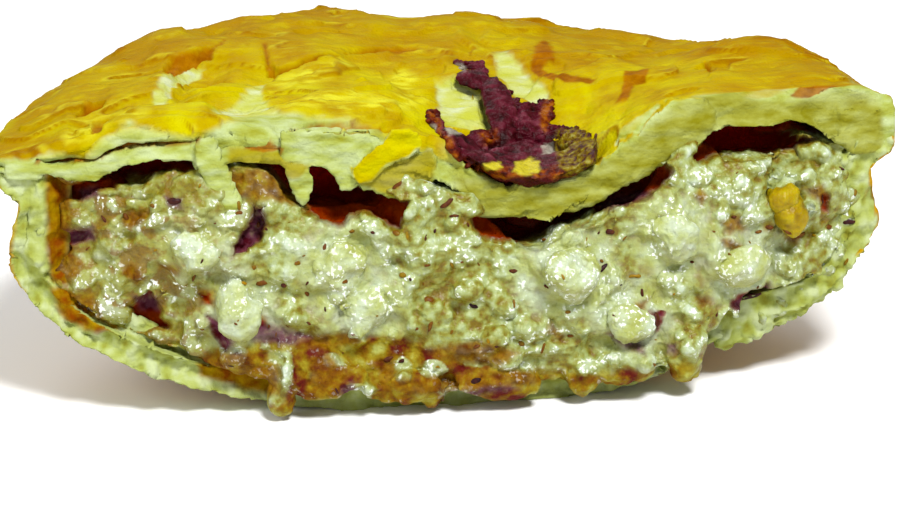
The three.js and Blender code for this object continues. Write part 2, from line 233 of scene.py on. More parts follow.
def swell(piece, kind, size, depth, group="", middle=0.5, **settings):
    """Push the skin in and out by a procedural pattern and keep the result."""
    pattern = bpy.data.textures.new(f"{piece.name}_{kind.lower()}", kind)
    pattern.noise_scale = size
    for name, value in settings.items():
        setattr(pattern, name, value)
    press = piece.modifiers.new("swell", "DISPLACE")
    press.texture = pattern
    press.texture_coords = "LOCAL"
    press.strength = depth
    press.mid_level = middle
    press.vertex_group = group
    pick(piece)
    bpy.ops.object.modifier_apply(modifier=press.name)
    bpy.data.textures.remove(pattern)


def cobble(piece, size, depth, group=""):
    """Round lumps packed side by side, with creases between them."""
    swell(piece, "VORONOI", size, -depth, group, 0.35, distance_metric="DISTANCE_SQUARED")


# %% [markdown]
# ## Marks and shapes placed in the picture
#
# Burst blisters, torn leaves, caves and drips are each given by an outline in the picture. Corners
# inside an outline are found by counting how often a level line from the corner crosses the
# outline, and the distance to the nearest side gives a soft edge. A little noise makes every edge
# ragged. The marks could be painted by hand on the pie, but an outline is easier to see and to
# correct.

# %% Outlines and ovals
class Seen:
    """Where the corners of a piece fall in the picture."""

    def __init__(self, points, ragged=1.6):
        columns, rows = picture_place(points)
        self.columns = columns + ragged * rough(points, 1.5 * MM, 31)
        self.rows = rows + ragged * rough(points, 1.5 * MM, 57)

    def inside(self, outline, soft=1.2):
        """One inside the outline, zero outside."""
        nearest = np.full(len(self.columns), 1e9)
        within = np.zeros(len(self.columns), bool)
        for (column, row), (next_column, next_row) in zip(outline, outline[1:] + outline[:1]):
            across, down = next_column - column, next_row - row
            part = (self.columns - column) * across + (self.rows - row) * down
            part = np.clip(part / (across**2 + down**2), 0, 1)
            gap = np.hypot(self.columns - column - part * across, self.rows - row - part * down)
            nearest = np.minimum(nearest, gap)
            crosses = (row > self.rows) != (next_row > self.rows)
            crossing = column + (self.rows - row) * across / (down or 1e-9)
            within ^= crosses & (self.columns < crossing)
        return ease(np.where(within, nearest, -nearest), -soft, soft)

    def any_of(self, outlines, soft=1.2):
        return np.max([self.inside(outline, soft) for outline in outlines], axis=0)

    def oval(self, column, row, half_wide, half_tall, turn=0):
        """Distance from an oval's middle as a share of its size."""
        angle = math.radians(turn)
        along = (self.columns - column) * math.cos(angle) + (self.rows - row) * math.sin(angle)
        aside = (self.rows - row) * math.cos(angle) - (self.columns - column) * math.sin(angle)
        return np.hypot(along / half_wide, aside / half_tall)


# %% [markdown]
# ### Sight lines
#
# A place in the picture is a line in space. A BVH tree finds quickly where that line meets the pie,
# and the cut is nearly flat, so its place is found by a few guesses, each better than the last.

# %% Where a sight line meets the pie
def tree_of(*pieces):
    """All faces of some pieces, ready to be asked what a line meets or what is nearest."""
    corners, faces = [], []
    for piece in pieces:
        start = len(corners)
        corners += [vertex.co.copy() for vertex in piece.data.vertices]
        faces += [[start + index for index in face.vertices] for face in piece.data.polygons]
    return BVHTree.FromPolygons(corners, faces)


def on_surface(tree, column, row, lift=0.0):
    """Where a sight line meets a surface, a little above it; None where it misses."""
    spot, facing, _, _ = tree.ray_cast(camera_spot, sight_line(column, row))
    return spot + facing * lift if spot else None


GUESSES = 4


def on_cut(column, row, lift=0.0):
    """Where a sight line meets the cut, a little in front of it."""
    line = sight_line(column, row)
    x = 0.0
    for _ in range(GUESSES):
        distance = (cut_line(x) - lift - camera_spot.y) / line.y
        x = camera_spot.x + distance * line.x
    return camera_spot + line * distance


# %% [markdown]
# ## A finer skin over a solid
#
# The solids have few, large faces. Splitting those would give long, thin triangles that wrinkle
# badly. A voxel remesh wraps a copy in small even squares, as if it had been dipped in batter, and
# the part that the viewer looks at is subdivided once more. Strips of dough, crumb and the thin
# edge of burnt sauce are laid on as rows of little balls first, so that the skin runs over them
# too.

# %% Balls that fill an outline
def row_of_balls(name, outlines, spacing, radius, meet):
    """One object of small balls set where sight lines inside the outlines meet the pie."""
    centres = []
    for outline in outlines:
        columns, rows = zip(*outline)
        grid = [
            (column, row)
            for column in np.arange(min(columns), max(columns), spacing)
            for row in np.arange(min(rows), max(rows), spacing)
        ]
        seen = Seen(np.array([on_cut(*place) for place in grid]), ragged=0)
        kept = seen.inside(outline, 0.01) > 0.5
        spots = [meet(*place) for place, keep in zip(grid, kept) if keep]
        centres += [spot for spot in spots if spot]
    return balls(name, centres, [radius] * len(centres), detail=1)


def balls(name, centres, radii, detail=2, squash=None):
    """Copies of one round ball, each moved and sized, as one object."""
    bpy.ops.mesh.primitive_ico_sphere_add(subdivisions=detail, radius=1)
    seed_ball = bpy.context.object
    unit = corners_of(seed_ball)
    faces = np.array([list(face.vertices) for face in seed_ball.data.polygons])
    bpy.data.objects.remove(seed_ball)
    shapes = unit[None] * np.asarray(radii).reshape(len(centres), 1, -1)
    if squash is not None:
        shapes = np.einsum("nij,nkj->nki", squash, shapes)
    places = (np.array(centres)[:, None] + shapes).reshape(-1, 3)
    indices = (faces[None] + np.arange(len(centres))[:, None, None] * len(unit)).reshape(-1, 3)
    mesh = bpy.data.meshes.new(name)
    mesh.from_pydata(places.tolist(), [], indices.tolist())
    mesh.update()
    piece = bpy.data.objects.new(name, mesh)
    bpy.context.scene.collection.objects.link(piece)
    return piece


# %% [markdown]
# ### From solid to skin
#
# A solid itself is never touched. Its mesh is copied and its doubled corners are merged, or the
# remesh would see a hundred loose scraps. The finished skin then takes the solid's place.

# %% Skinned copies
DOUBLED = 0.001 * MM


def loose_copy(node, name, grow=1.0):
    """A copy of a solid, closed up by merging its doubled corners."""
    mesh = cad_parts[node].data.copy()
    shape = bmesh.new()
    shape.from_mesh(mesh)
    bmesh.ops.remove_doubles(shape, verts=shape.verts, dist=DOUBLED)
    shape.to_mesh(mesh)
    shape.free()
    mesh.materials.clear()
    piece = bpy.data.objects.new(name, mesh)
    bpy.context.scene.collection.objects.link(piece)
    places = corners_of(piece)
    middle = (places.min(0) + places.max(0)) / 2
    move_corners(piece, middle + (places - middle) * grow)
    return piece


def skin(piece, voxel, *added):
    """Join what was laid on and wrap everything in one skin of even squares."""
    pick(piece)
    for extra in added:
        extra.select_set(True)
    if added:
        bpy.ops.object.join()
    piece.data.remesh_voxel_size = voxel
    bpy.ops.object.voxel_remesh()
    return piece


# %% Finer faces where they show
def subdivide_where(piece, chosen_corners):
    """Split the faces whose corners are all chosen."""
    pick(piece)
    mesh = piece.data
    bpy.ops.object.mode_set(mode="EDIT")
    bpy.ops.mesh.select_mode(type="FACE")
    bpy.ops.mesh.select_all(action="DESELECT")
    bpy.ops.object.mode_set(mode="OBJECT")
    marks = [all(chosen_corners[v] for v in face.vertices) for face in mesh.polygons]
    mesh.polygons.foreach_set("select", marks)
    bpy.ops.object.mode_set(mode="EDIT")
    bpy.ops.mesh.subdivide(number_cuts=1)
    bpy.ops.object.mode_set(mode="OBJECT")


# %% Handing a piece over
def finish_piece(piece, slot, material, *nodes):
    """Finish, smooth shading, the body it rides on, and the solids that it stands for."""
    pick(piece)
    piece.data.materials.append(material)
    bpy.ops.object.shade_smooth()
    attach(piece, "root")
    if nodes:
        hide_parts(*nodes)
    faces = sum(len(face.vertices) - 2 for face in piece.data.polygons)
    print(f"{piece.name}: {faces} triangles")


# %% [markdown]
# ## The lid
#
# The lid is puff pastry: dozens of leaves with air between them. From above it shows large scales
# whose edges curl up, blisters that burst, and places where the golden top leaves tore away and
# left the pale ones. On the cut, leaves hang down in strips, and a thick lip of dough runs under
# the vent on the right. The leaves could be thin sheets of their own, but sheets cut through each
# other and have edges like paper. So the strips are laid on as balls, then the whole lid gets one
# skin.

# %% Strips of dough on the cut
LOWER_LEAF = [
    (38, 160), (66, 165), (93, 160), (106, 152), (125, 146), (160, 146), (196, 148), (203, 160),
    (199, 174), (192, 157), (133, 156), (113, 169), (93, 180), (66, 179), (38, 167),
]
UPPER_LEAF = [(84, 151), (103, 130), (130, 122), (168, 133), (145, 135), (107, 142), (96, 151)]
SLAB = [
    (281, 138), (290, 131), (320, 128), (354, 128), (376, 133), (383, 143), (368, 155), (353, 166),
    (330, 168), (316, 163), (285, 161), (280, 150),
]
SLAB_DRIP = [(329, 165), (354, 163), (359, 181), (350, 191), (343, 190), (338, 178)]
GOLD_FLAP = [
    (367, 152), (380, 143), (398, 128), (417, 134), (420, 146), (408, 156), (385, 166), (372, 180),
    (360, 185), (354, 178), (352, 168),
]
UNDER_LEAF = [
    (360, 186), (372, 176), (400, 160), (430, 152), (437, 166), (430, 186), (408, 199), (389, 195),
]
DOUGH_STRAND = [(285, 164), (308, 168), (311, 185), (305, 204), (298, 200), (290, 182)]
LEFT_STRAND = [
    (196, 146), (212, 142), (222, 168), (232, 190), (240, 206), (236, 216), (222, 206), (208, 182),
    (200, 166),
]
DOUGH_LIP = [
    (474, 212), (484, 196), (520, 184), (560, 180), (597, 168), (640, 141), (673, 110), (696, 100),
    (713, 119), (704, 133), (688, 145), (663, 158), (630, 179), (582, 204), (543, 209),
]
LEFT_SEAM = [(6, 150), (20, 148), (38, 156), (42, 170), (30, 178), (10, 174)]
RIGHT_SEAM = [(838, 118), (862, 112), (892, 116), (890, 146), (876, 150), (852, 148), (838, 138)]

# %% Lid: strips laid on, then one skin
LID_VOXEL = 0.58 * MM
LID_FINE_DEPTH = 24 * MM
THIN_STEP, THICK_STEP = 3.5, 5
THIN, MIDDLING, THICK = 0.55 * MM, 0.7 * MM, 1.1 * MM
strips = row_of_balls(
    "dough_strips", [LOWER_LEAF, UPPER_LEAF, SLAB, SLAB_DRIP, UNDER_LEAF, DOUGH_STRAND],
    THIN_STEP, THIN, lambda column, row: on_cut(column, row, 0.5 * MM),
)
flap = row_of_balls(
    "gold_flap", [GOLD_FLAP],
    THIN_STEP, THIN, lambda column, row: on_cut(column, row, 1.3 * MM),
)
strand = row_of_balls(
    "left_strand", [LEFT_STRAND],
    THIN_STEP, MIDDLING, lambda column, row: on_cut(column, row, 1.6 * MM),
)
lip = row_of_balls(
    "dough_lip", [DOUGH_LIP, LEFT_SEAM, RIGHT_SEAM],
    THICK_STEP, THICK, lambda column, row: on_cut(column, row, 0.1 * MM),
)
lid = skin(loose_copy("pastry_lid", "golden_lid"), LID_VOXEL, strips, flap, strand, lip)
places, facing = corners_of(lid), facing_of(lid)
near = places[:, 1] < axis_y + LID_FINE_DEPTH
shown = (facing[:, 2] > 0.1) | (facing[:, 1] < -0.3)
subdivide_where(lid, near & shown)
places, facing = corners_of(lid), facing_of(lid)
print("lid corners:", len(places))

# %% [markdown]
# ### Torn and browned places
#
# Every mark on the lid has a cause. A blister burst and its floor browned, a leaf lifted and tore,
# a crack opened where the lid sank. Each is an outline in the picture, named by what happened
# there. They are about 1 mm deep at most, so it is enough to press the corners in, and nothing
# needs to be cut out.

# %% Lid: outlines of torn and browned places
BLISTER = [(163, 68), (174, 55), (214, 52), (212, 62), (184, 69), (167, 75)]
SLITS = [
    [(76, 110), (84, 101), (105, 98), (102, 104), (81, 111)],
    [(90, 120), (96, 115), (106, 116), (102, 122), (92, 126)],
]
# The gap between leaves on the left of the cut, pressed back and painted dark orange-brown as painted
# shade.
LEFT_GAP = [
    (36, 152), (66, 152), (86, 155), (100, 148), (108, 142), (126, 137), (200, 140), (198, 145),
    (128, 143), (112, 149), (102, 156), (84, 162), (64, 160), (36, 157),
]
CRACKS = [
    [(262, 46), (264, 58), (267, 74), (276, 76), (300, 67), (318, 62), (337, 59), (336, 57), (316, 59),
     (275, 72), (269, 60), (265, 46)],
    [(345, 52), (377, 48), (418, 46), (418, 49), (377, 51), (346, 54)],
    [(218, 50), (222, 38), (226, 38), (222, 50)], [(703, 61), (709, 62), (716, 68), (709, 69)],
    [(290, 129), (320, 125), (372, 128), (400, 127), (372, 131), (320, 128), (292, 132)],
]
TEARS = [
    [(163, 80), (184, 68), (205, 70), (199, 78), (184, 85), (168, 97), (161, 108), (153, 108),
     (153, 92)],
    [(240, 96), (250, 88), (264, 84), (262, 96), (270, 104), (268, 114), (260, 126), (240, 128),
     (224, 124), (214, 119), (222, 110), (232, 104)],
    [(84, 150), (103, 129), (130, 121), (170, 133), (196, 134), (196, 140), (126, 137), (107, 142),
     (96, 150)],
    [(34, 143), (52, 139), (64, 142), (66, 150), (40, 151)],
    [(228, 124), (262, 116), (300, 121), (350, 125), (300, 130), (280, 136), (262, 132), (232, 132)],
    [(436, 81), (455, 77), (470, 84), (482, 96), (500, 120), (503, 128), (462, 128), (444, 124),
     (438, 104)],
    [(492, 59), (503, 56), (520, 64), (535, 78), (547, 92), (549, 102), (530, 104), (512, 90),
     (500, 75)],
]
RUST = [
    BLISTER, *SLITS,
    [(530, 66), (533, 56), (536, 48), (543, 45), (552, 50), (557, 61), (548, 60), (543, 64), (556, 74),
     (575, 79), (596, 82), (590, 87), (565, 86), (545, 77)],
    [(624, 76), (650, 74), (646, 83), (634, 86), (627, 98), (615, 103), (622, 90)],
    [(790, 99), (800, 89), (822, 88), (837, 90), (828, 99), (810, 103)],
    [(243, 155), (252, 147), (270, 145), (284, 149), (280, 157), (262, 161)],
]
# Pale streaks on the top: paler egg wash, and painted highlights where the top catches the light.
PALE_STREAKS = [
    [(270, 84), (300, 72), (345, 64), (360, 68), (330, 78), (290, 90)],
    [(268, 112), (300, 100), (350, 92), (372, 96), (340, 108), (300, 116)],
    [(330, 116), (380, 100), (420, 90), (430, 98), (400, 112), (360, 124)],
    [(380, 84), (400, 66), (420, 74), (410, 92)],
    [(62, 124), (90, 112), (110, 118), (88, 130), (66, 132)],
    [(108, 112), (130, 108), (150, 116), (120, 120)],
]
BELOW_GOLD = [
    (-20, 150), (12, 150), (34, 144), (60, 145), (84, 151), (103, 132), (130, 123), (168, 133),
    (200, 138), (222, 131), (262, 120), (300, 121), (350, 127), (384, 132), (392, 140), (424, 152),
    (449, 162), (480, 176), (540, 178), (597, 166), (640, 140), (673, 109), (696, 99), (733, 92),
    (773, 100), (810, 103), (836, 98), (852, 90), (868, 94), (880, 108), (884, 140), (884, 300),
    (-20, 300),
]

# %% Lid: how strongly each mark shows at each corner
seen = Seen(places, ragged=2.2)
frayed = Seen(places, ragged=4)
lid_top = ease(facing[:, 2], 0.05, 0.4)
behind_cut = places[:, 1] - cut_line(places[:, 0])
near_cut = 1 - ease(behind_cut, 5 * MM, 9 * MM)
lid_front = ease(-facing[:, 1], 0.2, 0.6) * (1 - ease(behind_cut, 2 * MM, 6 * MM))
lid_cut = seen.inside(BELOW_GOLD, 4.0) * near_cut
lid_shown = np.maximum(lid_top, lid_front)
blister = seen.inside(BLISTER) * lid_top
slit = seen.any_of(SLITS) * lid_top
crack = seen.any_of(CRACKS, 1.0) * lid_shown
gap = seen.inside(LEFT_GAP, 2.5) * lid_shown
torn = frayed.any_of(TEARS, 2.5) * lid_shown
rust = seen.any_of(RUST, 1.5) * lid_shown
pale_streak = seen.any_of(PALE_STREAKS, 6) * lid_top
gold_flap = seen.inside(GOLD_FLAP) * lid_shown
print("torn corners:", int((torn > 0.5).sum()), "browned corners:", int((rust > 0.5).sum()))

# %% [markdown]
# ### Scales
#
# The top leaves overlap like scales. Loose flakes could be laid on, but each would need its own
# thickness and underside. Here a smooth random value, stretched along the pie, is cut into steps.
# Each step's edge is the edge of a leaf: it stands up a little, and that is where the pastry browns
# first. The thin brown line there is partly browning and partly painted shade in the crack under
# the leaf, and the pale band just past it is a painted highlight where the raised edge catches the
# light.

# %% Lid: scales
STEP = 0.5 * MM
scale_value = rough(places, np.array([13, 7, 40]) * MM, 3, 2) * 2.6
step_part = scale_value - np.floor(scale_value)
scales = (np.floor(scale_value) + ease(step_part, 0.0, 0.08)) * STEP
patchy = ease(wander(places, 5 * MM, 77), -0.3, 0.3)
# Brown line on each leaf edge: browning, and painted shade in the crack under the leaf.
edge_line = ease(step_part, 0.0, 0.04) * (1 - ease(step_part, 0.06, 0.16)) * patchy
# Pale band just past the edge: painted highlight.
edge_highlight = ease(step_part, 0.05, 0.1) * (1 - ease(step_part, 0.12, 0.3)) * patchy

# %% Lid: relief
SEAM_HEIGHT = 32.4 * MM
LEFT_SAG, RIGHT_RISE = 2.4 * MM, 1.6 * MM
LID_TOP = 39.4 * MM
billow = 0.75 * MM * rough(places, 8 * MM, 5) + 0.16 * MM * rough(places, 1.8 * MM, 9)
cuts = 1.0 * blister + 0.8 * slit + 0.6 * crack + 0.35 * torn * (1 - blister)
rise = lid_top * (scales + billow) - cuts * MM
above_seam = np.clip((places[:, 2] - SEAM_HEIGHT) / (5 * MM), 0, 1)
rise -= LEFT_SAG * ease(-places[:, 0], 30 * MM, 58 * MM) * above_seam
rise += RIGHT_RISE * ease(places[:, 0], 40 * MM, 54 * MM) * above_seam
places = places + np.array([0, 0, 1]) * rise[:, None]
leaves = 0.5 * rough(places, [6 * MM, 9, 1.8 * MM], 8, 2)
push = leaves + 0.2 * rough(places, 1.3 * MM, 4) - 0.8 * gap
places = places - np.array([0, 1, 0]) * (lid_front * push * MM)[:, None]
places[:, 2] -= 0.7 * np.maximum(places[:, 2] - LID_TOP, 0)
move_corners(lid, places)
print("lid rises by up to", round(rise.max() / MM, 2), "mm")

# %% [markdown]
# ### Numbers for the lid's finish
#
# The finish needs to know more than the shape: what is bare dough, what faces down into a hollow
# and gets painted shade, where the dough of the cut is painted darker and more olive, and how near
# the rim is, where the gold is darker. A painted picture could say so too, but it would have to be
# unwrapped first. A number on each corner simply stays with the skin.

# %% Lid: outlines of shaded and darker dough
SHADED = [
    UNDER_LEAF, [(228, 152), (284, 160), (312, 166), (300, 178), (230, 178)],
    [(60, 153), (90, 149), (112, 141), (130, 136), (192, 139), (192, 143), (130, 141), (112, 147),
     (90, 156)],
]
# Dough on the right of the cut, painted darker and more olive.
DARKER_LIP = [
    (450, 216), (456, 178), (500, 176), (560, 178), (604, 160), (648, 128), (682, 101), (730, 91),
    (800, 103), (860, 104), (900, 112), (900, 160), (850, 160), (800, 144), (720, 130), (660, 178),
    (590, 220), (540, 226),
]

# %% Lid: painted numbers
paint(lid, "torn", torn)
# Browning on blisters and slits, and in the cracks the brown is painted shade.
paint(lid, "rust", np.maximum(rust, 0.85 * crack))
paint(lid, "gap", gap)
paint(lid, "edge", edge_line * lid_top)
lip_side = ease(seen.columns, 430, 470)
paint(lid, "cut", np.maximum(lid_cut, lid_front * lip_side * (behind_cut < 5 * MM)) * (1 - gold_flap))
# Pale streaks and the pale band at leaf edges: partly painted highlight.
paint(lid, "pale", np.maximum(pale_streak, 0.6 * edge_highlight * lid_top))
# Darker gold towards the rim, right and back: browning, and painted shade at grazing angles.
radius = np.hypot(places[:, 0], places[:, 1] - axis_y)
paint(lid, "rim", ease(radius, 34 * MM, 57 * MM))
darker_right_back = np.maximum(ease(places[:, 0], 15 * MM, 42 * MM), ease(behind_cut, 14 * MM, 34 * MM))
paint(lid, "darker_right_back", darker_right_back)
under_rim = ease(radius, 50 * MM, 53 * MM)
# The lid's underside over the hollows, painted red-brown: painted shade on pastry wet with juice.
paint(lid, "inside", ease(behind_cut, 1 * MM, 7 * MM) * ease(-facing[:, 2], -0.1, 0.4) * (1 - under_rim))
paint(lid, "shaded", seen.any_of(SHADED, 3) * lid_cut)
paint(lid, "damp", seen.inside(DARKER_LIP, 12) * lid_cut)

# %% [markdown]
# ## The case
#
# The case held the filling in its tin. Its outside is smooth where it touched the tin, baked to a
# matt gold, and its cut edge is pale, soft crumb, wet and brown on the side of the filling, where
# the brown is partly painted shade in the gap between wall and filling. A lathe could turn its plain
# form, but not the torn edge of the cut, so the copy of the solid gets a fine skin there. Balls along
# the cut thicken the wall, and noise then crumbles it.

# %% Case
CASE_VOXEL = 0.62 * MM
CASE_FINE_DEPTH = 2.5 * MM
# A strip set back into the dark gap between wall and filling, painted brown-orange as painted shade.
SOAKED_AND_SHADED_STRIP = [(34, 176), (66, 176), (67, 276), (52, 282), (36, 250)]
CRUMB_STRIPS = [
    [(50, 274), (70, 270), (98, 298), (144, 325), (202, 347), (262, 365), (262, 392), (200, 378),
     (110, 344), (66, 312)],
    [(836, 150), (862, 156), (862, 226), (838, 282), (796, 310), (742, 336), (716, 344), (726, 312),
     (782, 292), (816, 266), (838, 226)],
]


def on_soaked_wall(column, row):
    """On the wall's inner side, deeper the farther it is from the wall's outer edge."""
    return on_cut(column, row, (SOAKED_AND_SHADED_STRIP[0][0] - column) / 12 * MM)


soaked_and_shaded = row_of_balls("soaked_and_shaded_crust", [SOAKED_AND_SHADED_STRIP], 6, 1.3 * MM, on_soaked_wall)
crumbs = row_of_balls(
    "soft_crumb", CRUMB_STRIPS, 6, 1.3 * MM, lambda column, row: on_cut(column, row, -1.0 * MM),
)
case = skin(loose_copy("pastry_case", "pastry_shell"), CASE_VOXEL, soaked_and_shaded, crumbs)
places = corners_of(case)
subdivide_where(case, places[:, 1] < cut_line(places[:, 0]) + CASE_FINE_DEPTH)
places, facing = corners_of(case), facing_of(case)
print("case corners:", len(places))

# %% Case: which corners are the cut and which the outside
seen = Seen(places)
behind_cut = places[:, 1] - cut_line(places[:, 0])
case_cut = (1 - ease(behind_cut, 1.2 * MM, 2.6 * MM)) * ease(-facing[:, 1], 0.1, 0.45)
radius = np.hypot(places[:, 0], places[:, 1] - axis_y)
outwards = np.stack([places[:, 0], places[:, 1] - axis_y, 0 * radius], axis=1) / radius[:, None]
case_outer = ease((facing * outwards).sum(1) - 1.4 * np.minimum(facing[:, 2], 0), 0.1, 0.5)

# %% Case: relief
bulk = 0.5 * rough(places, 8 * MM, 13) + 0.2 * rough(places, 2 * MM, 17)
lifted = ease(places[:, 2], 0.6 * MM, 3 * MM)
places = places + facing * (case_outer * lifted * (1 - case_cut) * bulk * MM)[:, None]
crumb = 0.9 * rough(places, 3.5 * MM, 23) + 0.6 * rough(places, 1.4 * MM, 29)
places = places - np.array([0, 1, 0]) * (case_cut * crumb * MM)[:, None]
ragged = (1 - ease(behind_cut, 1.5 * MM, 4 * MM)) * case_outer * lifted * rough(places, 5 * MM, 19, 4)
places = places + outwards * (1.1 * MM * ragged)[:, None]
places[:, 2] = np.maximum(places[:, 2], 0)
move_corners(case, places)
limit_to(case, "crumb", case_cut * lifted)
before = corners_of(case)
swell(case, "CLOUDS", 2.0 * MM, 0.9 * MM, "crumb", noise_depth=1)
moved = ((corners_of(case) - before) * facing).sum(1)
print("crumb moves", round(moved.min() / MM, 2), "to", round(moved.max() / MM, 2), "mm")

# %% [markdown]
# ### Numbers for the case's finish
#
# Pale crumb shows on the cut alone. Its outer edge is baked, so the farthest corners at each height
# are found first, and the crumb ends a little inside them.

# %% Case: painted numbers
# Brown-orange on the cut beside the wall and under the filling: wet crust and painted shade.
SOAKED_AND_SHADED = [
    [(46, 170), (76, 172), (78, 250), (70, 284), (52, 282), (47, 250)],
    [(50, 288), (66, 284), (90, 300), (122, 322), (116, 332), (90, 330), (62, 316)],
    [(196, 346), (240, 340), (284, 350), (284, 398), (250, 390), (200, 376)],
]
# Height of the crumb; its colour is painted from it, darker in the hollows as painted shade.
paint(case, "high", ease(moved, -0.35 * MM, 0.3 * MM))
level = (places[:, 2] / MM).astype(int)
farthest = np.zeros(level.max() + 1)
np.maximum.at(farthest, level, radius)
at_rim = ease(radius - farthest[level], -1.4 * MM, -0.5 * MM)
crust_edge = at_rim * ease((facing * outwards).sum(1), 0.3, 0.75)
baked_edge = 1 - (1 - crust_edge) * (1 - case_outer * at_rim)
paint(case, "cut", (1 - ease(behind_cut, 1.2 * MM, 2.8 * MM)) * (1 - baked_edge))
paint(case, "soaked_and_shaded", seen.any_of(SOAKED_AND_SHADED, 4) * case_cut)
paint(case, "outer", case_outer)
paint(case, "low", 1 - ease(places[:, 2], 2 * MM, 16 * MM))

# %% [markdown]
# ## The filling
#
# Minced chicken in a thick cream sauce breaks into lumps of every size. Noise alone would look like
# rough plaster, because nothing in it is round or overhangs. So hundreds of small curds are thrown
# at the face and sunk halfway, and one skin is drawn over them and the meat. The lumps that stand
# out in the picture are then raised as oval domes, and the caves are pushed back. The height of
# each corner above its neighbours is kept, since the colour is painted from it: high spots pale, as
# painted highlight, and creases darker, as painted shade.

# %% Throwing things at the face
THROW_SEED = 20
TOUCHING = 0.01 * MM
draw = np.random.default_rng(THROW_SEED)
SPREAD = [
    (58, 190), (120, 186), (196, 176), (240, 204), (300, 210), (356, 230), (408, 206), (470, 190),
    (480, 244), (560, 228), (640, 206), (700, 168), (790, 158), (846, 150), (852, 200), (838, 260),
    (812, 296), (740, 312), (694, 360), (600, 372), (500, 392), (350, 400), (280, 386), (200, 350),
    (110, 326), (66, 276),
]


def thrown(count, tree, face_tree):
    """Random spots where the face shows, with the way it looks there."""
    spots = []
    columns, rows = zip(*SPREAD)
    while len(spots) < count:
        column, row = draw.uniform(min(columns), max(columns)), draw.uniform(min(rows), max(rows))
        place, facing, _, _ = tree.ray_cast(camera_spot, sight_line(column, row))
        if place is None or face_tree.find_nearest(place)[3] > TOUCHING:
            continue
        if Seen(np.array([place]), ragged=0).inside(SPREAD, 1)[0] > 0.5:
            spots.append((place, facing))
    return spots


# %% Curds
def turned(facing, spin):
    """A small frame of axes whose third looks out of the face."""
    out = Vector(facing).normalized()
    side = out.orthogonal().normalized()
    side.rotate(Quaternion(out, spin))
    return np.array([side, out.cross(side), out]).T


def curd_balls(name, spots, smallest, largest, sunk):
    """Irregular, flattened balls of many sizes, more small ones than large ones."""
    size = smallest + (largest - smallest) * draw.random(len(spots)) ** 2.2
    shape = size[:, None] * draw.uniform([0.9, 0.7, 0.5], [1.5, 1.1, 0.85], (len(spots), 3))
    frames = np.array([turned(facing, draw.uniform(0, 2 * math.pi)) for _, facing in spots])
    centres = [spot - facing * depth for (spot, facing), depth in zip(spots, sunk * size)]
    piece = balls(name, centres, shape, 2, frames)
    places = corners_of(piece)
    places += facing_of(piece) * (0.55 * MM * rough(places, 1.2 * MM, 3, 2))[:, None]
    move_corners(piece, places)
    return piece


# %% Relief that the sauce and the pieces in it share
def relief(piece, group=""):
    """Lumps of three sizes, the same for the sauce and the pieces in it, so that they move together."""
    swell(piece, "CLOUDS", 5.0 * MM, 1.4 * MM, group, noise_depth=0)
    base, out = corners_of(piece), facing_of(piece)
    swell(piece, "CLOUDS", 2.2 * MM, 0.8 * MM, group, noise_depth=1)
    swell(piece, "CLOUDS", 0.9 * MM, 0.4 * MM, group, noise_depth=1)
    return ((corners_of(piece) - base) * out).sum(1)


PIECE_VOXEL = 0.3 * MM


def face_piece(node, name, grow, raised, sunk, softened=10):
    """A piece in the face: a soft copy whose middle stands out and whose rim dips into the sauce."""
    piece = skin(loose_copy(node, name, grow), PIECE_VOXEL)
    rounding = piece.modifiers.new("rounding", "SMOOTH")
    rounding.iterations = softened
    bpy.ops.object.modifier_apply(modifier=rounding.name)
    base, out = corners_of(piece), facing_of(piece)
    shown = ease(out @ np.array(away), 0.25, 0.8)
    uneven = 1.1 * MM * wander(base, 2.6 * MM, 41)
    move_corners(piece, base + out * (raised * shown - sunk * (1 - shown) + uneven)[:, None])
    moved = relief(piece)
    # Height: the colour is painted from it, high spots as painted highlight, creases as painted shade.
    paint(piece, "high", ease(moved, -0.5 * MM, 0.5 * MM))
    # Undersides are painted olive: painted shade.
    paint(piece, "under", ease(-facing_of(piece)[:, 2], -0.1, 0.8))
    paint(piece, "meat", 0.55 + 0.45 * shown)
    return piece


# %% [markdown]
# ### One skin over the sauce
#
# Sauce clings to the meat, so copies of the meat and the carrot are joined to the sauce before the
# remesh. Curds of their own lie close round the meat. The hidden back of the filling needs few
# faces.

# %% Filling: curds and lumps to be skinned over
chicken_nodes = sorted(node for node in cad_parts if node.startswith("chicken_"))
FILLING_VOXEL = 0.545 * MM
CURDS = 460
bare_filling = tree_of(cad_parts["filling"])
bare_meat = tree_of(*(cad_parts[node] for node in chicken_nodes))
bare_face = tree_of(*(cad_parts[node] for node in ("filling", *chicken_nodes)))
sunk_meat = [loose_copy(node, node + "_sunk", 1.0) for node in [*chicken_nodes, "carrot"]]
spots = thrown(4 * CURDS, bare_face, bare_filling)
round_meat = [spot for spot in spots if bare_meat.find_nearest(spot[0])[3] < 0.9 * MM]
print(len(round_meat), "curds lie against the meat")
curds = curd_balls("curds", spots[:CURDS], 0.5 * MM, 1.7 * MM, 0.45)
rim_curds = curd_balls("rim_curds", round_meat, 0.7 * MM, 1.6 * MM, 0.2)

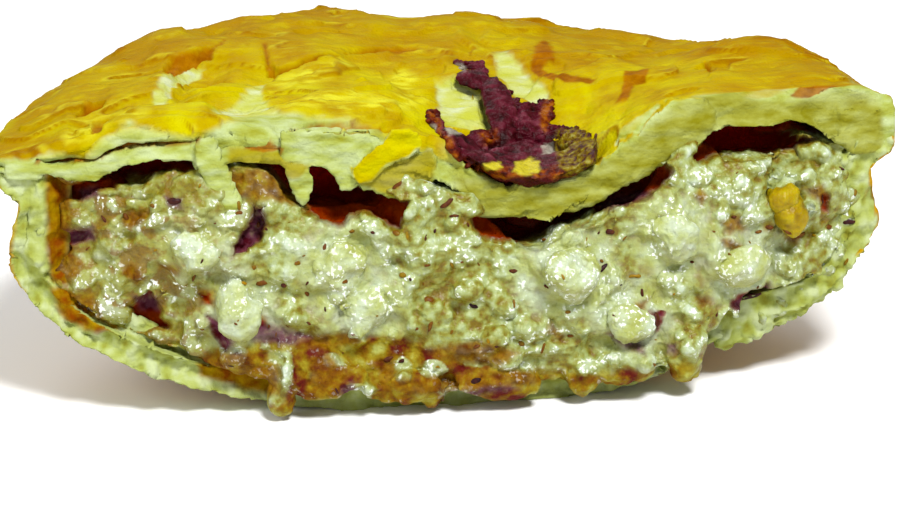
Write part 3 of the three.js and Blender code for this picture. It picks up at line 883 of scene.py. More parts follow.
# %% Filling: lumps on its edge
# Each edge lump is a column, a row and a radius in mm.
EDGE_LUMPS = [
    (72, 206, 1.2), (70, 220, 1.5), (66, 240, 1.1), (74, 258, 1.7), (66, 276, 1.9), (62, 294, 1.6),
    (84, 306, 1.8), (104, 322, 1.7), (130, 336, 1.6), (160, 347, 1.6), (190, 358, 1.6), (222, 368, 1.5),
    (250, 376, 1.5), (838, 172, 1.5), (846, 196, 1.4), (842, 220, 1.6), (836, 246, 1.7),
    (822, 268, 1.7), (802, 288, 1.6), (778, 304, 1.5), (752, 317, 1.5), (728, 330, 1.4),
]
edge_lumps = balls(
    "edge_lumps", [on_cut(column, row, -1.4 * MM) for column, row, _ in EDGE_LUMPS],
    [radius * MM for _, _, radius in EDGE_LUMPS],
)

# %% Filling: one skin, few faces at the back
FACE_DEPTH = 8 * MM
FILLING_FINE_DEPTH = 2.8 * MM
HIDDEN_SHARE = 0.1
added = [curds, rim_curds, edge_lumps, *sunk_meat]
filling = skin(loose_copy("filling", "chicken_filling"), FILLING_VOXEL, *added)
places = corners_of(filling)
face_ends = cut_line(places[:, 0]) + FACE_DEPTH
limit_to(filling, "hidden", places[:, 1] > face_ends)
thin = filling.modifiers.new("thin", "DECIMATE")
thin_share = HIDDEN_SHARE + (1 - HIDDEN_SHARE) * np.mean(places[:, 1] < face_ends)
thin.ratio = thin_share
thin.vertex_group = "hidden"
bpy.ops.object.modifier_apply(modifier=thin.name)
places = corners_of(filling)
subdivide_where(filling, places[:, 1] < cut_line(places[:, 0]) + FILLING_FINE_DEPTH)
print("kept", round(thin_share, 2), "of the filling's faces")

# %% Filling: sauce settles round the meat
places = corners_of(filling)
behind_cut = places[:, 1] - cut_line(places[:, 0])
face_part = 1 - ease(behind_cut, 4 * MM, 10 * MM)
FAR_AWAY = 1.0
LOOK_ROUND = 4.5 * MM
SETTLING_STEPS = 36
to_meat = np.full(len(places), FAR_AWAY)
for index in np.flatnonzero(face_part > 0.5):
    distance = bare_meat.find_nearest(Vector(places[index]), LOOK_ROUND)[3]
    to_meat[index] = FAR_AWAY if distance is None else distance
limit_to(filling, "round_meat", face_part * (1 - ease(to_meat, 1.0 * MM, 3.0 * MM)))
settling = filling.modifiers.new("settling", "SMOOTH")
settling.iterations = SETTLING_STEPS
settling.vertex_group = "round_meat"
bpy.ops.object.modifier_apply(modifier=settling.name)
places, facing = corners_of(filling), facing_of(filling)
print("filling corners:", len(places))

# %% [markdown]
# ### Lumps and caves
#
# The sauce stands out over each lump of mince and draws back into caves between them. They could be
# sculpted with a brush. A list of ovals and outlines does the same and can be read again: corners
# in an oval come out towards the camera as a dome, and corners in a cave go back along the same
# line.

# %% Filling: ovals and outlines of lumps and caves
# Each lump is a column, a row, half a width, half a height, a turn, and a rise in mm.
MEAT_LUMPS = [
    (189, 238, 22, 22, 10, 1.3), (83, 276, 17, 19, 0, 1.2), (238, 304, 20, 34, 0, 1.2),
    (256, 300, 12, 17, 0, 1.0), (334, 258, 27, 32, 0, 1.5), (363, 314, 15, 30, 6, 1.3),
    (336, 296, 20, 14, 0, 0.8), (565, 253, 26, 27, 0, 1.5), (607, 302, 23, 27, 25, 1.2),
    (661, 234, 21, 25, 0, 1.4), (724, 262, 19, 32, 0, 1.4),
]
SAUCE_LUMPS = [
    (106, 248, 17, 14, 10, 1.2), (119, 279, 11, 11, 0, 0.8), (141, 273, 9, 13, 0, 0.8),
    (110, 309, 17, 15, 20, 1.0), (80, 219, 14, 10, 0, 1.1), (110, 206, 20, 8, -6, 0.8),
    (142, 190, 12, 9, 0, 0.7), (139, 224, 50, 8, -6, 1.0), (237, 216, 15, 15, 0, 1.2),
    (221, 221, 12, 14, 0, 0.9), (201, 327, 8, 8, 0, 0.8), (186, 336, 9, 14, 20, 1.0),
    (166, 306, 9, 14, 0, 0.8), (193, 346, 12, 17, -30, 1.0), (235, 352, 14, 11, 10, 1.1),
    (266, 347, 7, 5, 0, 0.6), (273, 314, 10, 9, 0, 0.7), (272, 214, 9, 14, 0, 0.9),
    (282, 250, 26, 16, -10, 0.8), (288, 276, 24, 12, 10, 0.6), (375, 236, 22, 13, 5, 1.1),
    (407, 211, 9, 10, 0, 1.1), (430, 210, 7, 14, 0, 0.7), (451, 224, 9, 9, 0, 1.0),
    (429, 184, 13, 10, 0, 0.9), (462, 192, 9, 7, 0, 0.7), (496, 192, 12, 6, 0, 0.6),
    (448, 250, 24, 11, -4, 1.1), (395, 304, 10, 11, 0, 0.9), (420, 262, 20, 14, 0, 0.5),
    (410, 286, 18, 10, -15, 0.5), (452, 290, 22, 12, 10, 0.5), (424, 326, 16, 10, 0, 0.6),
    (321, 331, 12, 8, 0, 0.7), (296, 318, 10, 6, 0, 0.6), (284, 376, 10, 26, 8, 1.4),
    (334, 360, 10, 9, 0, 0.9), (362, 390, 18, 10, 0, 1.2), (403, 371, 9, 14, 0, 0.9),
    (432, 369, 15, 10, 0, 0.9), (455, 392, 18, 8, 0, 0.8), (480, 352, 30, 14, -8, 0.8),
    (520, 330, 26, 16, -10, 0.6), (571, 312, 20, 18, 0, 0.9), (552, 330, 15, 12, 0, 0.8),
    (559, 347, 10, 7, 0, 0.8), (590, 282, 14, 10, 0, 0.7), (610, 283, 8, 8, 0, 1.0),
    (672, 284, 19, 17, 0, 0.9), (689, 314, 17, 10, 0, 1.0), (614, 360, 10, 12, 0, 1.2),
    (582, 369, 14, 12, 0, 1.2), (651, 362, 15, 9, 0, 1.2), (690, 352, 12, 12, 0, 1.1),
    (732, 312, 17, 9, 8, 1.0), (767, 318, 10, 12, -10, 1.3), (808, 302, 7, 6, 0, 0.9),
    (791, 284, 14, 12, 0, 0.8), (740, 191, 14, 17, 0, 1.4), (721, 210, 9, 14, 0, 1.1),
    (717, 190, 9, 7, 0, 0.8), (675, 176, 14, 9, 0, 1.1), (752, 218, 11, 11, 0, 0.9),
    (700, 178, 14, 10, 0, 0.7), (809, 211, 13, 19, 0, 1.0), (788, 250, 18, 14, 0, 0.9),
    (800, 176, 16, 9, -8, 0.9), (824, 150, 11, 11, 0, 1.2), (806, 152, 9, 8, 0, 0.9),
    (830, 172, 12, 8, 0, 0.8), (845, 190, 8, 7, 0, 0.9), (760, 165, 18, 9, 0, 0.7),
    (820, 240, 14, 7, -35, 1.0), (828, 288, 12, 7, -10, 0.9), (840, 262, 14, 14, 0, 0.7),
    (780, 268, 16, 9, 10, 0.7), (848, 226, 12, 12, 0, 0.6),
]
# Each cave is an outline and a depth in mm.
CAVES = [
    ([(38, 168), (66, 180), (93, 180), (113, 170), (133, 157), (192, 157), (193, 167), (170, 173),
      (125, 178), (112, 191), (85, 194), (62, 201), (48, 200), (42, 186)], 3.4),
    ([(306, 185), (316, 170), (338, 177), (343, 190), (361, 186), (389, 195), (406, 201), (400, 226),
      (379, 219), (361, 212), (346, 224), (330, 227), (313, 216), (301, 206)], 5.0),
    ([(471, 216), (500, 213), (543, 211), (582, 207), (632, 181), (664, 163), (672, 170), (650, 194),
      (625, 204), (600, 212), (570, 215), (556, 226), (540, 238), (500, 242), (478, 238)], 4.5),
    ([(711, 128), (720, 121), (746, 125), (770, 135), (781, 131), (797, 137), (819, 138), (803, 145),
      (799, 155), (781, 147), (771, 152), (740, 150), (725, 152), (697, 163), (692, 158)], 4.0),
    ([(253, 203), (266, 206), (266, 226), (258, 240), (244, 250), (230, 260), (238, 238),
      (250, 222)], 2.6),
    ([(134, 298), (150, 296), (160, 312), (168, 330), (148, 330), (126, 322), (128, 308)], 2.8),
    ([(196, 290), (212, 293), (213, 304), (203, 301)], 1.6),
    ([(50, 176), (62, 180), (60, 204), (66, 228), (88, 230), (84, 240), (70, 244), (58, 262),
      (54, 240)], 2.0),
    ([(207, 315), (215, 318), (232, 342), (225, 350), (213, 336)], 1.8),
    ([(243, 311), (252, 309), (263, 330), (250, 335), (241, 327)], 1.8),
    ([(650, 311), (665, 312), (657, 333)], 1.4),
    ([(732, 305), (740, 297), (757, 289), (768, 283), (771, 292), (756, 301), (740, 311)], 1.2),
    ([(826, 196), (830, 200), (832, 214), (827, 212)], 1.4),
]

# %% Filling: lumps pulled out, caves pushed in
RAGGED = 0.34
view = Seen(places)
lump_height = np.zeros(len(places))
meat = np.zeros(len(places))
lump = np.zeros(len(places))
edge_noise = RAGGED * rough(places, 2.0 * MM, 63)
uneven = 1 + 0.45 * rough(places, 1.6 * MM, 71)
for *oval, height in MEAT_LUMPS + SAUCE_LUMPS:
    reach = view.oval(*oval) + edge_noise
    dome = np.clip(1 - reach**2, 0, 1) ** 0.7 * uneven
    lump_height = np.maximum(lump_height, height * dome)
    lump = np.maximum(lump, dome)
    if (*oval, height) in MEAT_LUMPS:
        meat = np.maximum(meat, 1 - ease(reach, 0.75, 1.0))
free = ease(to_meat, 0.4 * MM, 2.5 * MM)
frayed = Seen(places, ragged=6)
in_caves = np.array([frayed.inside(outline, 2.0) for outline, _ in CAVES])
depths = np.array([depth for _, depth in CAVES])
cave_depth = (in_caves * depths[:, None]).max(axis=0)
cave = in_caves.max(axis=0)
lift = face_part * (lump_height - cave_depth) * free
places = places + np.array(away) * (lift * MM)[:, None]
move_corners(filling, places)
print("caves go back", round(cave_depth.max(), 1), "mm")

# %% [markdown]
# ### Crumbs and a melted surface
#
# Clouds of three sizes and a round of Voronoi cells roughen the face. A light smoothing then melts
# it together, as cream sauce does, and what is left of the movement tells high spots from creases.

# %% Filling: cobbles and crumbs
limit_to(filling, "face", face_part * free * (1 - 0.6 * meat) * (1 - 0.6 * cave))
limit_to(filling, "all_face", face_part)
moved = relief(filling, "all_face")
before, facing = corners_of(filling), facing_of(filling)
cobble(filling, 1.7 * MM, 0.4 * MM, "face")
melting = filling.modifiers.new("melting", "SMOOTH")
melting.iterations = 3
melting.vertex_group = "all_face"
bpy.ops.object.modifier_apply(modifier=melting.name)
after = corners_of(filling)
after[:, 2] = np.maximum(after[:, 2], 0.2 * MM)
move_corners(filling, after)
moved += ((after - before) * facing).sum(1) + 0.25 * MM * (lump_height - 0.5)
print("filling moves", round(moved.min() / MM, 2), "to", round(moved.max() / MM, 2), "mm")

# %% [markdown]
# ### Pieces of meat
#
# The larger pieces of meat are solids of their own, and smoother than the sauce. Left as they are,
# they would look like eggs in foam. So each gets lumps of the same pattern as the sauce, and both
# rise and fall together. Its middle stands out, and its rim dips under the sauce, which is as pale
# there.

# %% Pieces of meat in the face
CHUNK_GROW, CHUNK_RAISED, CHUNK_SUNK = 1.06, 0.15 * MM, 0.45 * MM
meat_pieces = []
for node in chicken_nodes:
    name = node.replace("chicken_", "meat_chunk_")
    meat_pieces.append(face_piece(node, name, CHUNK_GROW, CHUNK_RAISED, CHUNK_SUNK))
print(len(meat_pieces), "pieces of meat")

# %% [markdown]
# ### Where shade is painted
#
# Undersides and creases are painted olive and brown, the low band under the bulge olive-brown,
# the caves red-brown and the darkest hollows purple, all as painted shade. The brown patches are
# partly browned juice as well. Which way the large shape faces tells where an underside is, and the
# relief tells where a crease is. Where the low band, the brown patches and the purple hollows lie
# can't be told from the shape, so outlines say so.

# %% Filling: outlines of painted shade: brown patches, purple hollows, the low band and its drip
# Brown patches in creases and hollows: browned juice, and painted shade.
BROWN = [
    [(48, 172), (72, 176), (70, 250), (84, 262), (70, 285), (54, 282), (48, 230)],
    [(228, 174), (256, 168), (300, 172), (312, 186), (300, 204), (262, 202), (232, 196)],
    [(390, 186), (398, 180), (404, 184), (398, 190)],
    [(120, 218), (134, 210), (150, 214), (140, 226), (124, 228)],
    [(156, 262), (180, 268), (178, 276), (158, 272)], [(136, 286), (120, 272), (132, 262), (148, 280)],
    [(196, 286), (214, 290), (216, 306), (200, 304)], [(60, 290), (96, 296), (92, 326), (66, 312)],
    [(242, 306), (264, 316), (268, 334), (244, 332)],
    [(300, 334), (350, 330), (360, 342), (320, 350), (296, 346)],
    [(204, 352), (250, 352), (276, 364), (276, 396), (236, 384), (204, 370)],
    [(310, 360), (328, 352), (350, 376), (330, 396), (306, 396)],
    [(376, 360), (392, 352), (398, 384), (384, 398)],
    [(420, 348), (478, 340), (520, 352), (500, 366), (450, 362)],
    [(384, 380), (480, 372), (560, 372), (540, 384), (400, 398)],
    [(548, 320), (566, 336), (560, 342), (546, 332)],
    [(632, 306), (650, 296), (646, 308), (622, 330), (606, 334)],
    [(696, 298), (706, 294), (710, 302), (700, 308)],
    [(722, 236), (734, 240), (748, 250), (740, 256), (724, 246)],
    [(720, 222), (738, 214), (748, 230), (730, 234)], [(782, 226), (804, 232), (798, 244), (786, 240)],
    [(803, 190), (822, 184), (830, 200), (826, 212), (820, 200)],
    [(764, 222), (776, 224), (772, 232), (764, 230)], [(692, 196), (700, 188), (708, 196), (700, 206)],
    [(746, 250), (762, 248), (764, 268), (750, 268)],
]
# Purple in the darkest hollows: painted shade.
PURPLE = [
    [(252, 204), (266, 206), (266, 226), (252, 246), (230, 260), (236, 240), (250, 222)],
    [(62, 230), (92, 226), (92, 240), (70, 246)], [(166, 196), (182, 198), (184, 208), (168, 206)],
    [(206, 314), (216, 318), (236, 342), (228, 352), (212, 336)],
    [(239, 330), (262, 325), (300, 330), (312, 337), (290, 345), (255, 342)],
    [(134, 296), (156, 298), (158, 312), (136, 308)],
    [(606, 334), (624, 328), (644, 346), (646, 356), (628, 350)],
    [(664, 344), (676, 346), (674, 356), (664, 354)], [(650, 311), (665, 312), (657, 333)],
    [(730, 306), (742, 296), (772, 282), (772, 294), (740, 312)],
    [(600, 204), (640, 186), (650, 194), (624, 206), (604, 212)],
    [(336, 398), (352, 380), (360, 396), (350, 404)], [(440, 398), (500, 384), (520, 388), (460, 402)],
    [(74, 190), (98, 186), (100, 198), (80, 200)],
]
# The low band under the bulge, painted olive-brown as painted shade; paler on the drip and on lumps.
LOW_BAND = [
    (200, 350), (250, 344), (290, 333), (330, 335), (400, 337), (440, 349), (480, 362), (520, 369),
    (560, 367), (600, 374), (650, 366), (690, 360), (700, 380), (600, 398), (480, 412), (400, 420),
    (270, 412), (200, 384),
]
DRIP = [(270, 352), (288, 352), (290, 378), (286, 402), (270, 402), (268, 376)]

# %% Filling: painted numbers
# Undersides, painted olive: painted shade.
underside = ease(-facing[:, 2], -0.1, 0.75)
pale_in_band = (1 - 0.6 * ease(lump, 0.02, 0.25)) * (1 - 0.7 * view.inside(DRIP, 4))
low_band = view.inside(LOW_BAND, 8) * face_part * pale_in_band
left_part = 1 - ease(view.columns, 150, 290)
# Brown patches: browned juice and painted shade.
browned = view.any_of(BROWN, 4) * face_part
# Caves, and what lies deeper behind the cut, are painted red-brown as painted shade.
in_cave = np.maximum(cave, ease(behind_cut, 2 * MM, 8 * MM))
# High spots painted pale, creases darker: painted highlight and painted shade.
paint(filling, "high", ease(moved, -0.5 * MM, 0.75 * MM))
near_meat = 1 - ease(to_meat, 1.0 * MM, 4.0 * MM)
paint(filling, "meat", np.maximum(0.8 * meat, 0.7 * near_meat))
paint(filling, "under", underside * (0.65 + 0.35 * meat))
paint(filling, "low", low_band)
paint(filling, "left", left_part)
paint(filling, "cave", in_cave)
paint(filling, "dull", np.maximum(in_cave, 0.8 * np.maximum(browned, low_band)))
# Deeper behind the cut, painted redder: painted shade.
paint(filling, "deep", ease(behind_cut, 2 * MM, 6 * MM))
paint(filling, "brown", browned)
# Purple hollows: painted shade.
paint(filling, "purple", view.any_of(PURPLE, 4) * face_part)

# %% [markdown]
# ## Carrot and herbs
#
# The carrot is cooked as one of the pieces. Flecks of herb lie all over the face: the ones that can
# be told apart are placed one by one, and smaller ones are thrown along sight lines with a fixed
# seed, so that the same pie comes out every time. They could be dark spots in the sauce's finish,
# but real scraps catch the light and throw small shadows. They are thin, uneven and half sunk in
# sauce.

# %% Carrot in the face
carrot = face_piece("carrot", "carrot_dice", 1.02, 0.45 * MM, 0.0, softened=30)
face_tree = tree_of(filling, *meat_pieces)
front_tree = tree_of(filling, *meat_pieces, lid, case, carrot)

# %% Herbs: flecks that can be told apart
# Each fleck is a column, a row, half a length, half a width, a turn, and how dark it is.
FLECKS = [
    (429, 300, 6, 6, 10, 0.5), (474, 306, 7, 3, 30, 1.0), (352, 231, 4, 3, 0, 0.4),
    (297, 263, 4, 4, 0, 0.4), (254, 268, 3, 3, 0, 0.4), (263, 283, 8, 4, -10, 0.5),
    (284, 285, 4, 4, 0, 0.8), (244, 283, 4, 3, 0, 0.1), (403, 275, 4, 4, 0, 0.2),
    (452, 265, 5, 3, 70, 0.3), (431, 325, 9, 3, 110, 0.5), (389, 359, 6, 4, -20, 0.7),
    (475, 381, 7, 4, -20, 1.0), (231, 366, 4, 2, 20, 1.0), (353, 335, 4, 2, 0, 0.5),
    (398, 185, 8, 4, -30, 0.6), (407, 236, 6, 3, 90, 0.2), (447, 203, 9, 4, -35, 0.7),
    (454, 216, 6, 2, 0, 0.7), (397, 233, 5, 4, 20, 0.4), (514, 304, 5, 2, 90, 0.4),
    (521, 343, 5, 4, 30, 0.4), (543, 348, 7, 2, 110, 0.5), (513, 271, 8, 3, -5, 0.7),
    (603, 268, 8, 3, -40, 1.0), (610, 232, 5, 4, 0, 0.8), (621, 285, 2, 2, 0, 1.0),
    (642, 293, 5, 3, 80, 0.8), (571, 336, 4, 3, 0, 0.5), (634, 276, 8, 3, 0, 0.2),
    (657, 320, 9, 5, 95, 0.8), (748, 297, 16, 4, -20, 0.9), (822, 197, 8, 2, 75, 0.8),
    (828, 227, 5, 4, 0, 0.6), (849, 222, 7, 4, 0, 0.9), (842, 169, 5, 2, 10, 0.8),
    (855, 193, 4, 3, 90, 0.3), (787, 232, 6, 3, 30, 0.6), (798, 236, 9, 4, -20, 0.5),
    (769, 227, 5, 4, 0, 0.6), (734, 217, 3, 2, 0, 0.7), (202, 261, 4, 2, -60, 0.9),
    (194, 276, 7, 2, 95, 0.5), (239, 206, 6, 3, 85, 0.3), (174, 201, 8, 5, 0, 0.9),
    (126, 217, 5, 3, 60, 0.6), (104, 219, 6, 2, 50, 0.7), (152, 206, 4, 3, 0, 0.4),
    (846, 262, 5, 3, -60, 0.3), (462, 262, 3, 2, 0, 0.5), (545, 240, 5, 2, 15, 0.5),
    (692, 262, 3, 2, 0, 0.7),
]

# %% Herbs: placed flecks
FLECK_LENGTH, FLECK_WIDTH, FLECK_THICKNESS = 0.9, 0.7, 0.2 * MM
fleck_spots, fleck_shapes, fleck_frames, fleck_tones = [], [], [], []
for column, row, half_long, half_wide, turn, tone in FLECKS:
    place, facing, _, distance = front_tree.ray_cast(camera_spot, sight_line(column, row))
    if place is None:
        continue
    pixel = distance / PIXELS_PER_RADIAN
    angle = math.radians(turn)
    along = level_right * math.cos(angle) - lens_up * math.sin(angle)
    out = (Vector(facing) + away).normalized()
    side = (along - out * along.dot(out)).normalized()
    fleck_frames.append(np.array([side, out.cross(side), out]).T)
    fleck_spots.append(place)
    long_side, short_side = FLECK_LENGTH * half_long * pixel, FLECK_WIDTH * half_wide * pixel
    fleck_shapes.append([long_side, short_side, FLECK_THICKNESS])
    fleck_tones.append(tone)

# %% Herbs: small flecks, thrown
RANDOM_FLECKS = 70
FULL_TURN = 6.3
SMALLEST, LARGEST, SMALL_THICKNESS = 0.18 * MM, 0.5 * MM, 0.12 * MM
for place, facing in thrown(RANDOM_FLECKS, front_tree, face_tree):
    long_side = draw.uniform(SMALLEST, LARGEST)
    fleck_frames.append(turned(facing, draw.uniform(0, FULL_TURN)))
    fleck_spots.append(place)
    fleck_shapes.append([long_side, long_side * draw.uniform(0.25, 0.6), SMALL_THICKNESS])
    fleck_tones.append(draw.uniform(0.1, 0.9))

# %% Herbs: one joined piece
flecks = balls("herb_flecks", fleck_spots, np.array(fleck_shapes), 2, np.array(fleck_frames))
places = corners_of(flecks)
places += facing_of(flecks) * (0.22 * MM * rough(places, 0.5 * MM, 5, 2))[:, None]
move_corners(flecks, places)
paint(flecks, "tone", np.repeat(fleck_tones, len(places) // len(fleck_tones)))
print(len(fleck_tones), "flecks")

# %% [markdown]
# ## Burnt sauce in the vent
#
# Sauce boiled up through the slit in the lid and dried into a dark, wrinkled skin. It has a stalk
# at the back, an arm to the left and a flat lobe to the right. The solid alone would lie on the lid
# like a toy. So a thin film of balls is laid on the lid first, which follows every scale, and one
# skin joins it to the slimmed solid.

# %% Burnt sauce: outlines of its arms
STALK = [
    (449, 66), (462, 64), (480, 61), (486, 74), (492, 84), (508, 92), (518, 102), (512, 118),
    (500, 108), (488, 96), (478, 82), (466, 72),
]
MASS = [
    (500, 104), (522, 103), (536, 106), (544, 98), (555, 100), (555, 112), (548, 126), (546, 150),
    (538, 160), (520, 160), (500, 160), (482, 150), (480, 134), (498, 126), (503, 124),
]
LEFT_ARM = [
    (424, 112), (434, 110), (440, 120), (446, 132), (462, 136), (480, 132), (486, 144), (500, 158),
    (540, 162), (540, 172), (506, 176), (480, 173), (462, 163), (449, 150), (440, 134), (428, 124),
]
RIGHT_LOBE = [
    (546, 130), (560, 125), (574, 128), (584, 130), (590, 140), (596, 152), (594, 164), (580, 168),
    (560, 170), (545, 173), (536, 172), (540, 156),
]

# %% Burnt sauce: film and core in one skin
FILM_STEP, FILM_RADIUS = 4, 0.55 * MM
BURNT_VOXEL = 0.33 * MM
SLIMMER = 0.55 * MM
LOBE_END = 594
PULLED_BACK = 0.85
lid_tree = tree_of(lid)
film = row_of_balls(
    "burnt_film", [STALK, MASS, LEFT_ARM, RIGHT_LOBE],
    FILM_STEP, FILM_RADIUS, lambda column, row: on_surface(lid_tree, column, row, 0.1 * MM),
)
core = loose_copy("burnt_filling", "burnt_sauce")
move_corners(core, corners_of(core) - SLIMMER * facing_of(core))
burnt = skin(core, BURNT_VOXEL, film)
places = corners_of(burnt)
too_far = np.maximum(picture_place(places)[0] - LOBE_END, 0) * VIEW_DISTANCE / PIXELS_PER_RADIAN
move_corners(burnt, places - PULLED_BACK * np.array(level_right) * too_far[:, None])
print("burnt sauce corners:", len(places))

# %% Burnt sauce: wrinkles
burnt_start, burnt_out = corners_of(burnt), facing_of(burnt)
swell(burnt, "CLOUDS", 2.6 * MM, 0.9 * MM, noise_depth=2)
swell(burnt, "CLOUDS", 1.0 * MM, 0.6 * MM, noise_depth=3)
burnt_moved = ((corners_of(burnt) - burnt_start) * burnt_out).sum(1)
print("wrinkles move by up to", round(np.abs(burnt_moved).max() / MM, 2), "mm")

# %% Burnt sauce: outlines of its colours
RUSTY = [
    [(422, 110), (436, 108), (442, 124), (440, 130), (426, 124)],
    [(438, 128), (452, 140), (462, 156), (484, 168), (540, 170), (597, 160), (597, 172), (540, 180),
     (484, 178), (456, 162), (438, 140)],
    [(478, 130), (497, 128), (498, 142), (482, 146)],
    [(544, 98), (556, 98), (556, 112), (546, 134), (540, 124)],
    [(500, 166), (514, 166), (514, 174), (500, 174)],
]
GLINTS = [
    [(446, 126), (464, 126), (466, 134), (448, 135)], [(449, 65), (462, 64), (466, 72), (452, 72)],
    [(542, 144), (552, 142), (554, 152), (542, 156)], [(428, 124), (436, 124), (436, 134), (428, 132)],
]
OLIVE = [[(556, 132), (584, 126), (604, 140), (602, 172), (566, 176), (556, 156)]]
YELLOW = [
    [(516, 162), (530, 157), (539, 160), (539, 172), (524, 177), (514, 172)],
    [(483, 164), (500, 162), (504, 168), (486, 170)],
]

# %% Burnt sauce: painted numbers
view = Seen(corners_of(burnt), ragged=3.5)
# Height of the wrinkles: tops painted lighter mauve as painted highlight, hollows as painted shade.
paint(burnt, "high", ease(burnt_moved, -0.6 * MM, 0.6 * MM))
paint(burnt, "rusty", view.any_of(RUSTY, 2.5))
paint(burnt, "glint", view.any_of(GLINTS, 1.5))
paint(burnt, "olive", view.any_of(OLIVE, 3))
paint(burnt, "yellow", view.any_of(YELLOW, 1.5))
# Darker towards the lower edge of the burnt sauce.
paint(burnt, "sunk", ease(view.rows, 174, 186))

# %% [markdown]
# ## Finishes
#
# Each finish is a small tree of nodes. Colours are written as the eye sees them, from 0 to 255, and
# turned into the linear values that Blender works in. The numbers painted on the corners choose
# between a few colours, and noise in object space keeps any of them from being flat. Photographs of
# pastry could be wrapped round the pieces instead, but noise in space has no seams and no end.

# %% Node helpers
BRIGHTNESS = 0.64


def seen_color(red, green, blue):
    """A colour as it should look under the lamps, made linear."""
    parts = [level / 255 for level in (red, green, blue)]
    linear = [p / 12.92 if p <= 0.04045 else ((p + 0.055) / 1.055) ** 2.4 for p in parts]
    return [BRIGHTNESS * level for level in linear] + [1.0]


class Finish:
    """A material with one shader and a few short ways to add to its tree."""

    def __init__(self, name, roughness, **settings):
        self.material = bpy.data.materials.new(name)
        self.material.use_nodes = True
        self.nodes = self.material.node_tree.nodes
        self.links = self.material.node_tree.links
        self.shader = self.nodes["Principled BSDF"]
        self.shader.inputs["Roughness"].default_value = roughness
        for socket, value in settings.items():
            self.shader.inputs[socket.replace("_", " ")].default_value = value
        self.place = self.nodes.new("ShaderNodeTexCoord").outputs["Object"]

    def painted(self, name):
        """A number that was painted on the corners."""
        node = self.nodes.new("ShaderNodeAttribute")
        node.attribute_name = name
        return node.outputs["Fac"]

    def noise(self, size, detail=3.0, stretch=(1, 1, 1)):
        mapping = self.nodes.new("ShaderNodeMapping")
        mapping.inputs["Scale"].default_value = stretch
        self.links.new(self.place, mapping.inputs["Vector"])
        node = self.nodes.new("ShaderNodeTexNoise")
        node.inputs["Scale"].default_value = 1 / size
        node.inputs["Detail"].default_value = detail
        self.links.new(mapping.outputs["Vector"], node.inputs["Vector"])
        return node.outputs["Fac"]

    def cells(self, size):
        node = self.nodes.new("ShaderNodeTexVoronoi")
        node.inputs["Scale"].default_value = 1 / size
        self.links.new(self.place, node.inputs["Vector"])
        return node.outputs["Distance"]

    def between(self, value, low, high):
        """A soft step: 0 below low, 1 above high."""
        node = self.nodes.new("ShaderNodeMapRange")
        node.interpolation_type = "SMOOTHSTEP"
        node.inputs["From Min"].default_value = low
        node.inputs["From Max"].default_value = high
        self.links.new(value, node.inputs["Value"])
        return node.outputs["Result"]

    def sum(self, kind, one, other):
        node = self.nodes.new("ShaderNodeMath")
        node.operation = kind
        for socket, value in zip(node.inputs, (one, other)):
            if isinstance(value, (int, float)):
                socket.default_value = value
            else:
                self.links.new(value, socket)
        return node.outputs["Value"]

    def part(self, value, share):
        return self.sum("MULTIPLY", value, share)

    def ramp(self, value, *stops):
        """Colours along a value: each stop is a place from 0 to 1 and a colour as seen."""
        node = self.nodes.new("ShaderNodeValToRGB")
        node.color_ramp.elements.remove(node.color_ramp.elements[1])
        for index, (position, color) in enumerate(stops):
            stop = node.color_ramp.elements[0] if index == 0 else node.color_ramp.elements.new(position)
            stop.position = position
            stop.color = seen_color(*color)
        self.links.new(value, node.inputs["Fac"])
        return node.outputs["Color"]

    def mix(self, amount, below, above):
        """Lay one colour over another, by an amount from 0 to 1."""
        node = self.nodes.new("ShaderNodeMix")
        node.data_type = "RGBA"
        self.links.new(amount, node.inputs["Factor"])
        for socket, value in ((node.inputs[6], below), (node.inputs[7], above)):
            if isinstance(value, tuple):
                socket.default_value = seen_color(*value)
            else:
                self.links.new(value, socket)
        return node.outputs[2]

    def color(self, value):
        self.links.new(value, self.shader.inputs["Base Color"])

    def bump(self, *layers):
        """Fine relief: pairs of a height pattern and its depth."""
        last = None
        for height, depth in layers:
            node = self.nodes.new("ShaderNodeBump")
            node.inputs["Distance"].default_value = depth
            self.links.new(height, node.inputs["Height"])
            if last:
                self.links.new(last, node.inputs["Normal"])
            last = node.outputs["Normal"]
        self.links.new(last, self.shader.inputs["Normal"])


# %% [markdown]
# ### Golden pastry
#
# Egg wash bakes to a saturated yellow with orange patches. It is darker towards the rim, the right
# and the back: partly browning, partly painted shade where the top is seen at a grazing angle. Its
# gloss is tinted yellow too, since the light comes back through the egg. Where leaves tore off, the
# dough is pale and matt. Inside the hollows the pastry is wet with juice, and its red-brown is
# painted shade.

# %% Golden pastry: the egg-washed skin
golden = Finish("golden_pastry", 0.45, Specular_IOR_Level=0.012, Specular_Tint=(1.0, 0.86, 0.2, 1.0))
gold = golden.ramp(
    golden.noise(6 * MM, 4, (1, 0.7, 1)),
    (0.3, (178, 142, 0)),
    (0.45, (196, 172, 0)),
    (0.58, (208, 196, 0)),
    (0.72, (216, 210, 12)),
)
# Darker gold towards the rim, the right and the back: browning, and painted shade at grazing angles.
rim = golden.sum("MULTIPLY", golden.painted("rim"), golden.between(golden.noise(9 * MM, 4), 0.22, 0.55))
gold = golden.mix(golden.part(rim, 0.75), gold, (168, 124, 0))
gold = golden.mix(golden.part(golden.painted("darker_right_back"), 0.55), gold, (176, 128, 0))
rust_cloud = golden.between(golden.noise(14 * MM, 5, (0.8, 1, 1)), 0.54, 0.72)
gold = golden.mix(golden.part(rust_cloud, 0.5), gold, (170, 116, 0))
streak = golden.between(golden.noise(2.2 * MM, 4, (0.6, 1, 1)), 0.52, 0.7)
gold = golden.mix(golden.part(streak, 0.3), gold, (218, 206, 8))
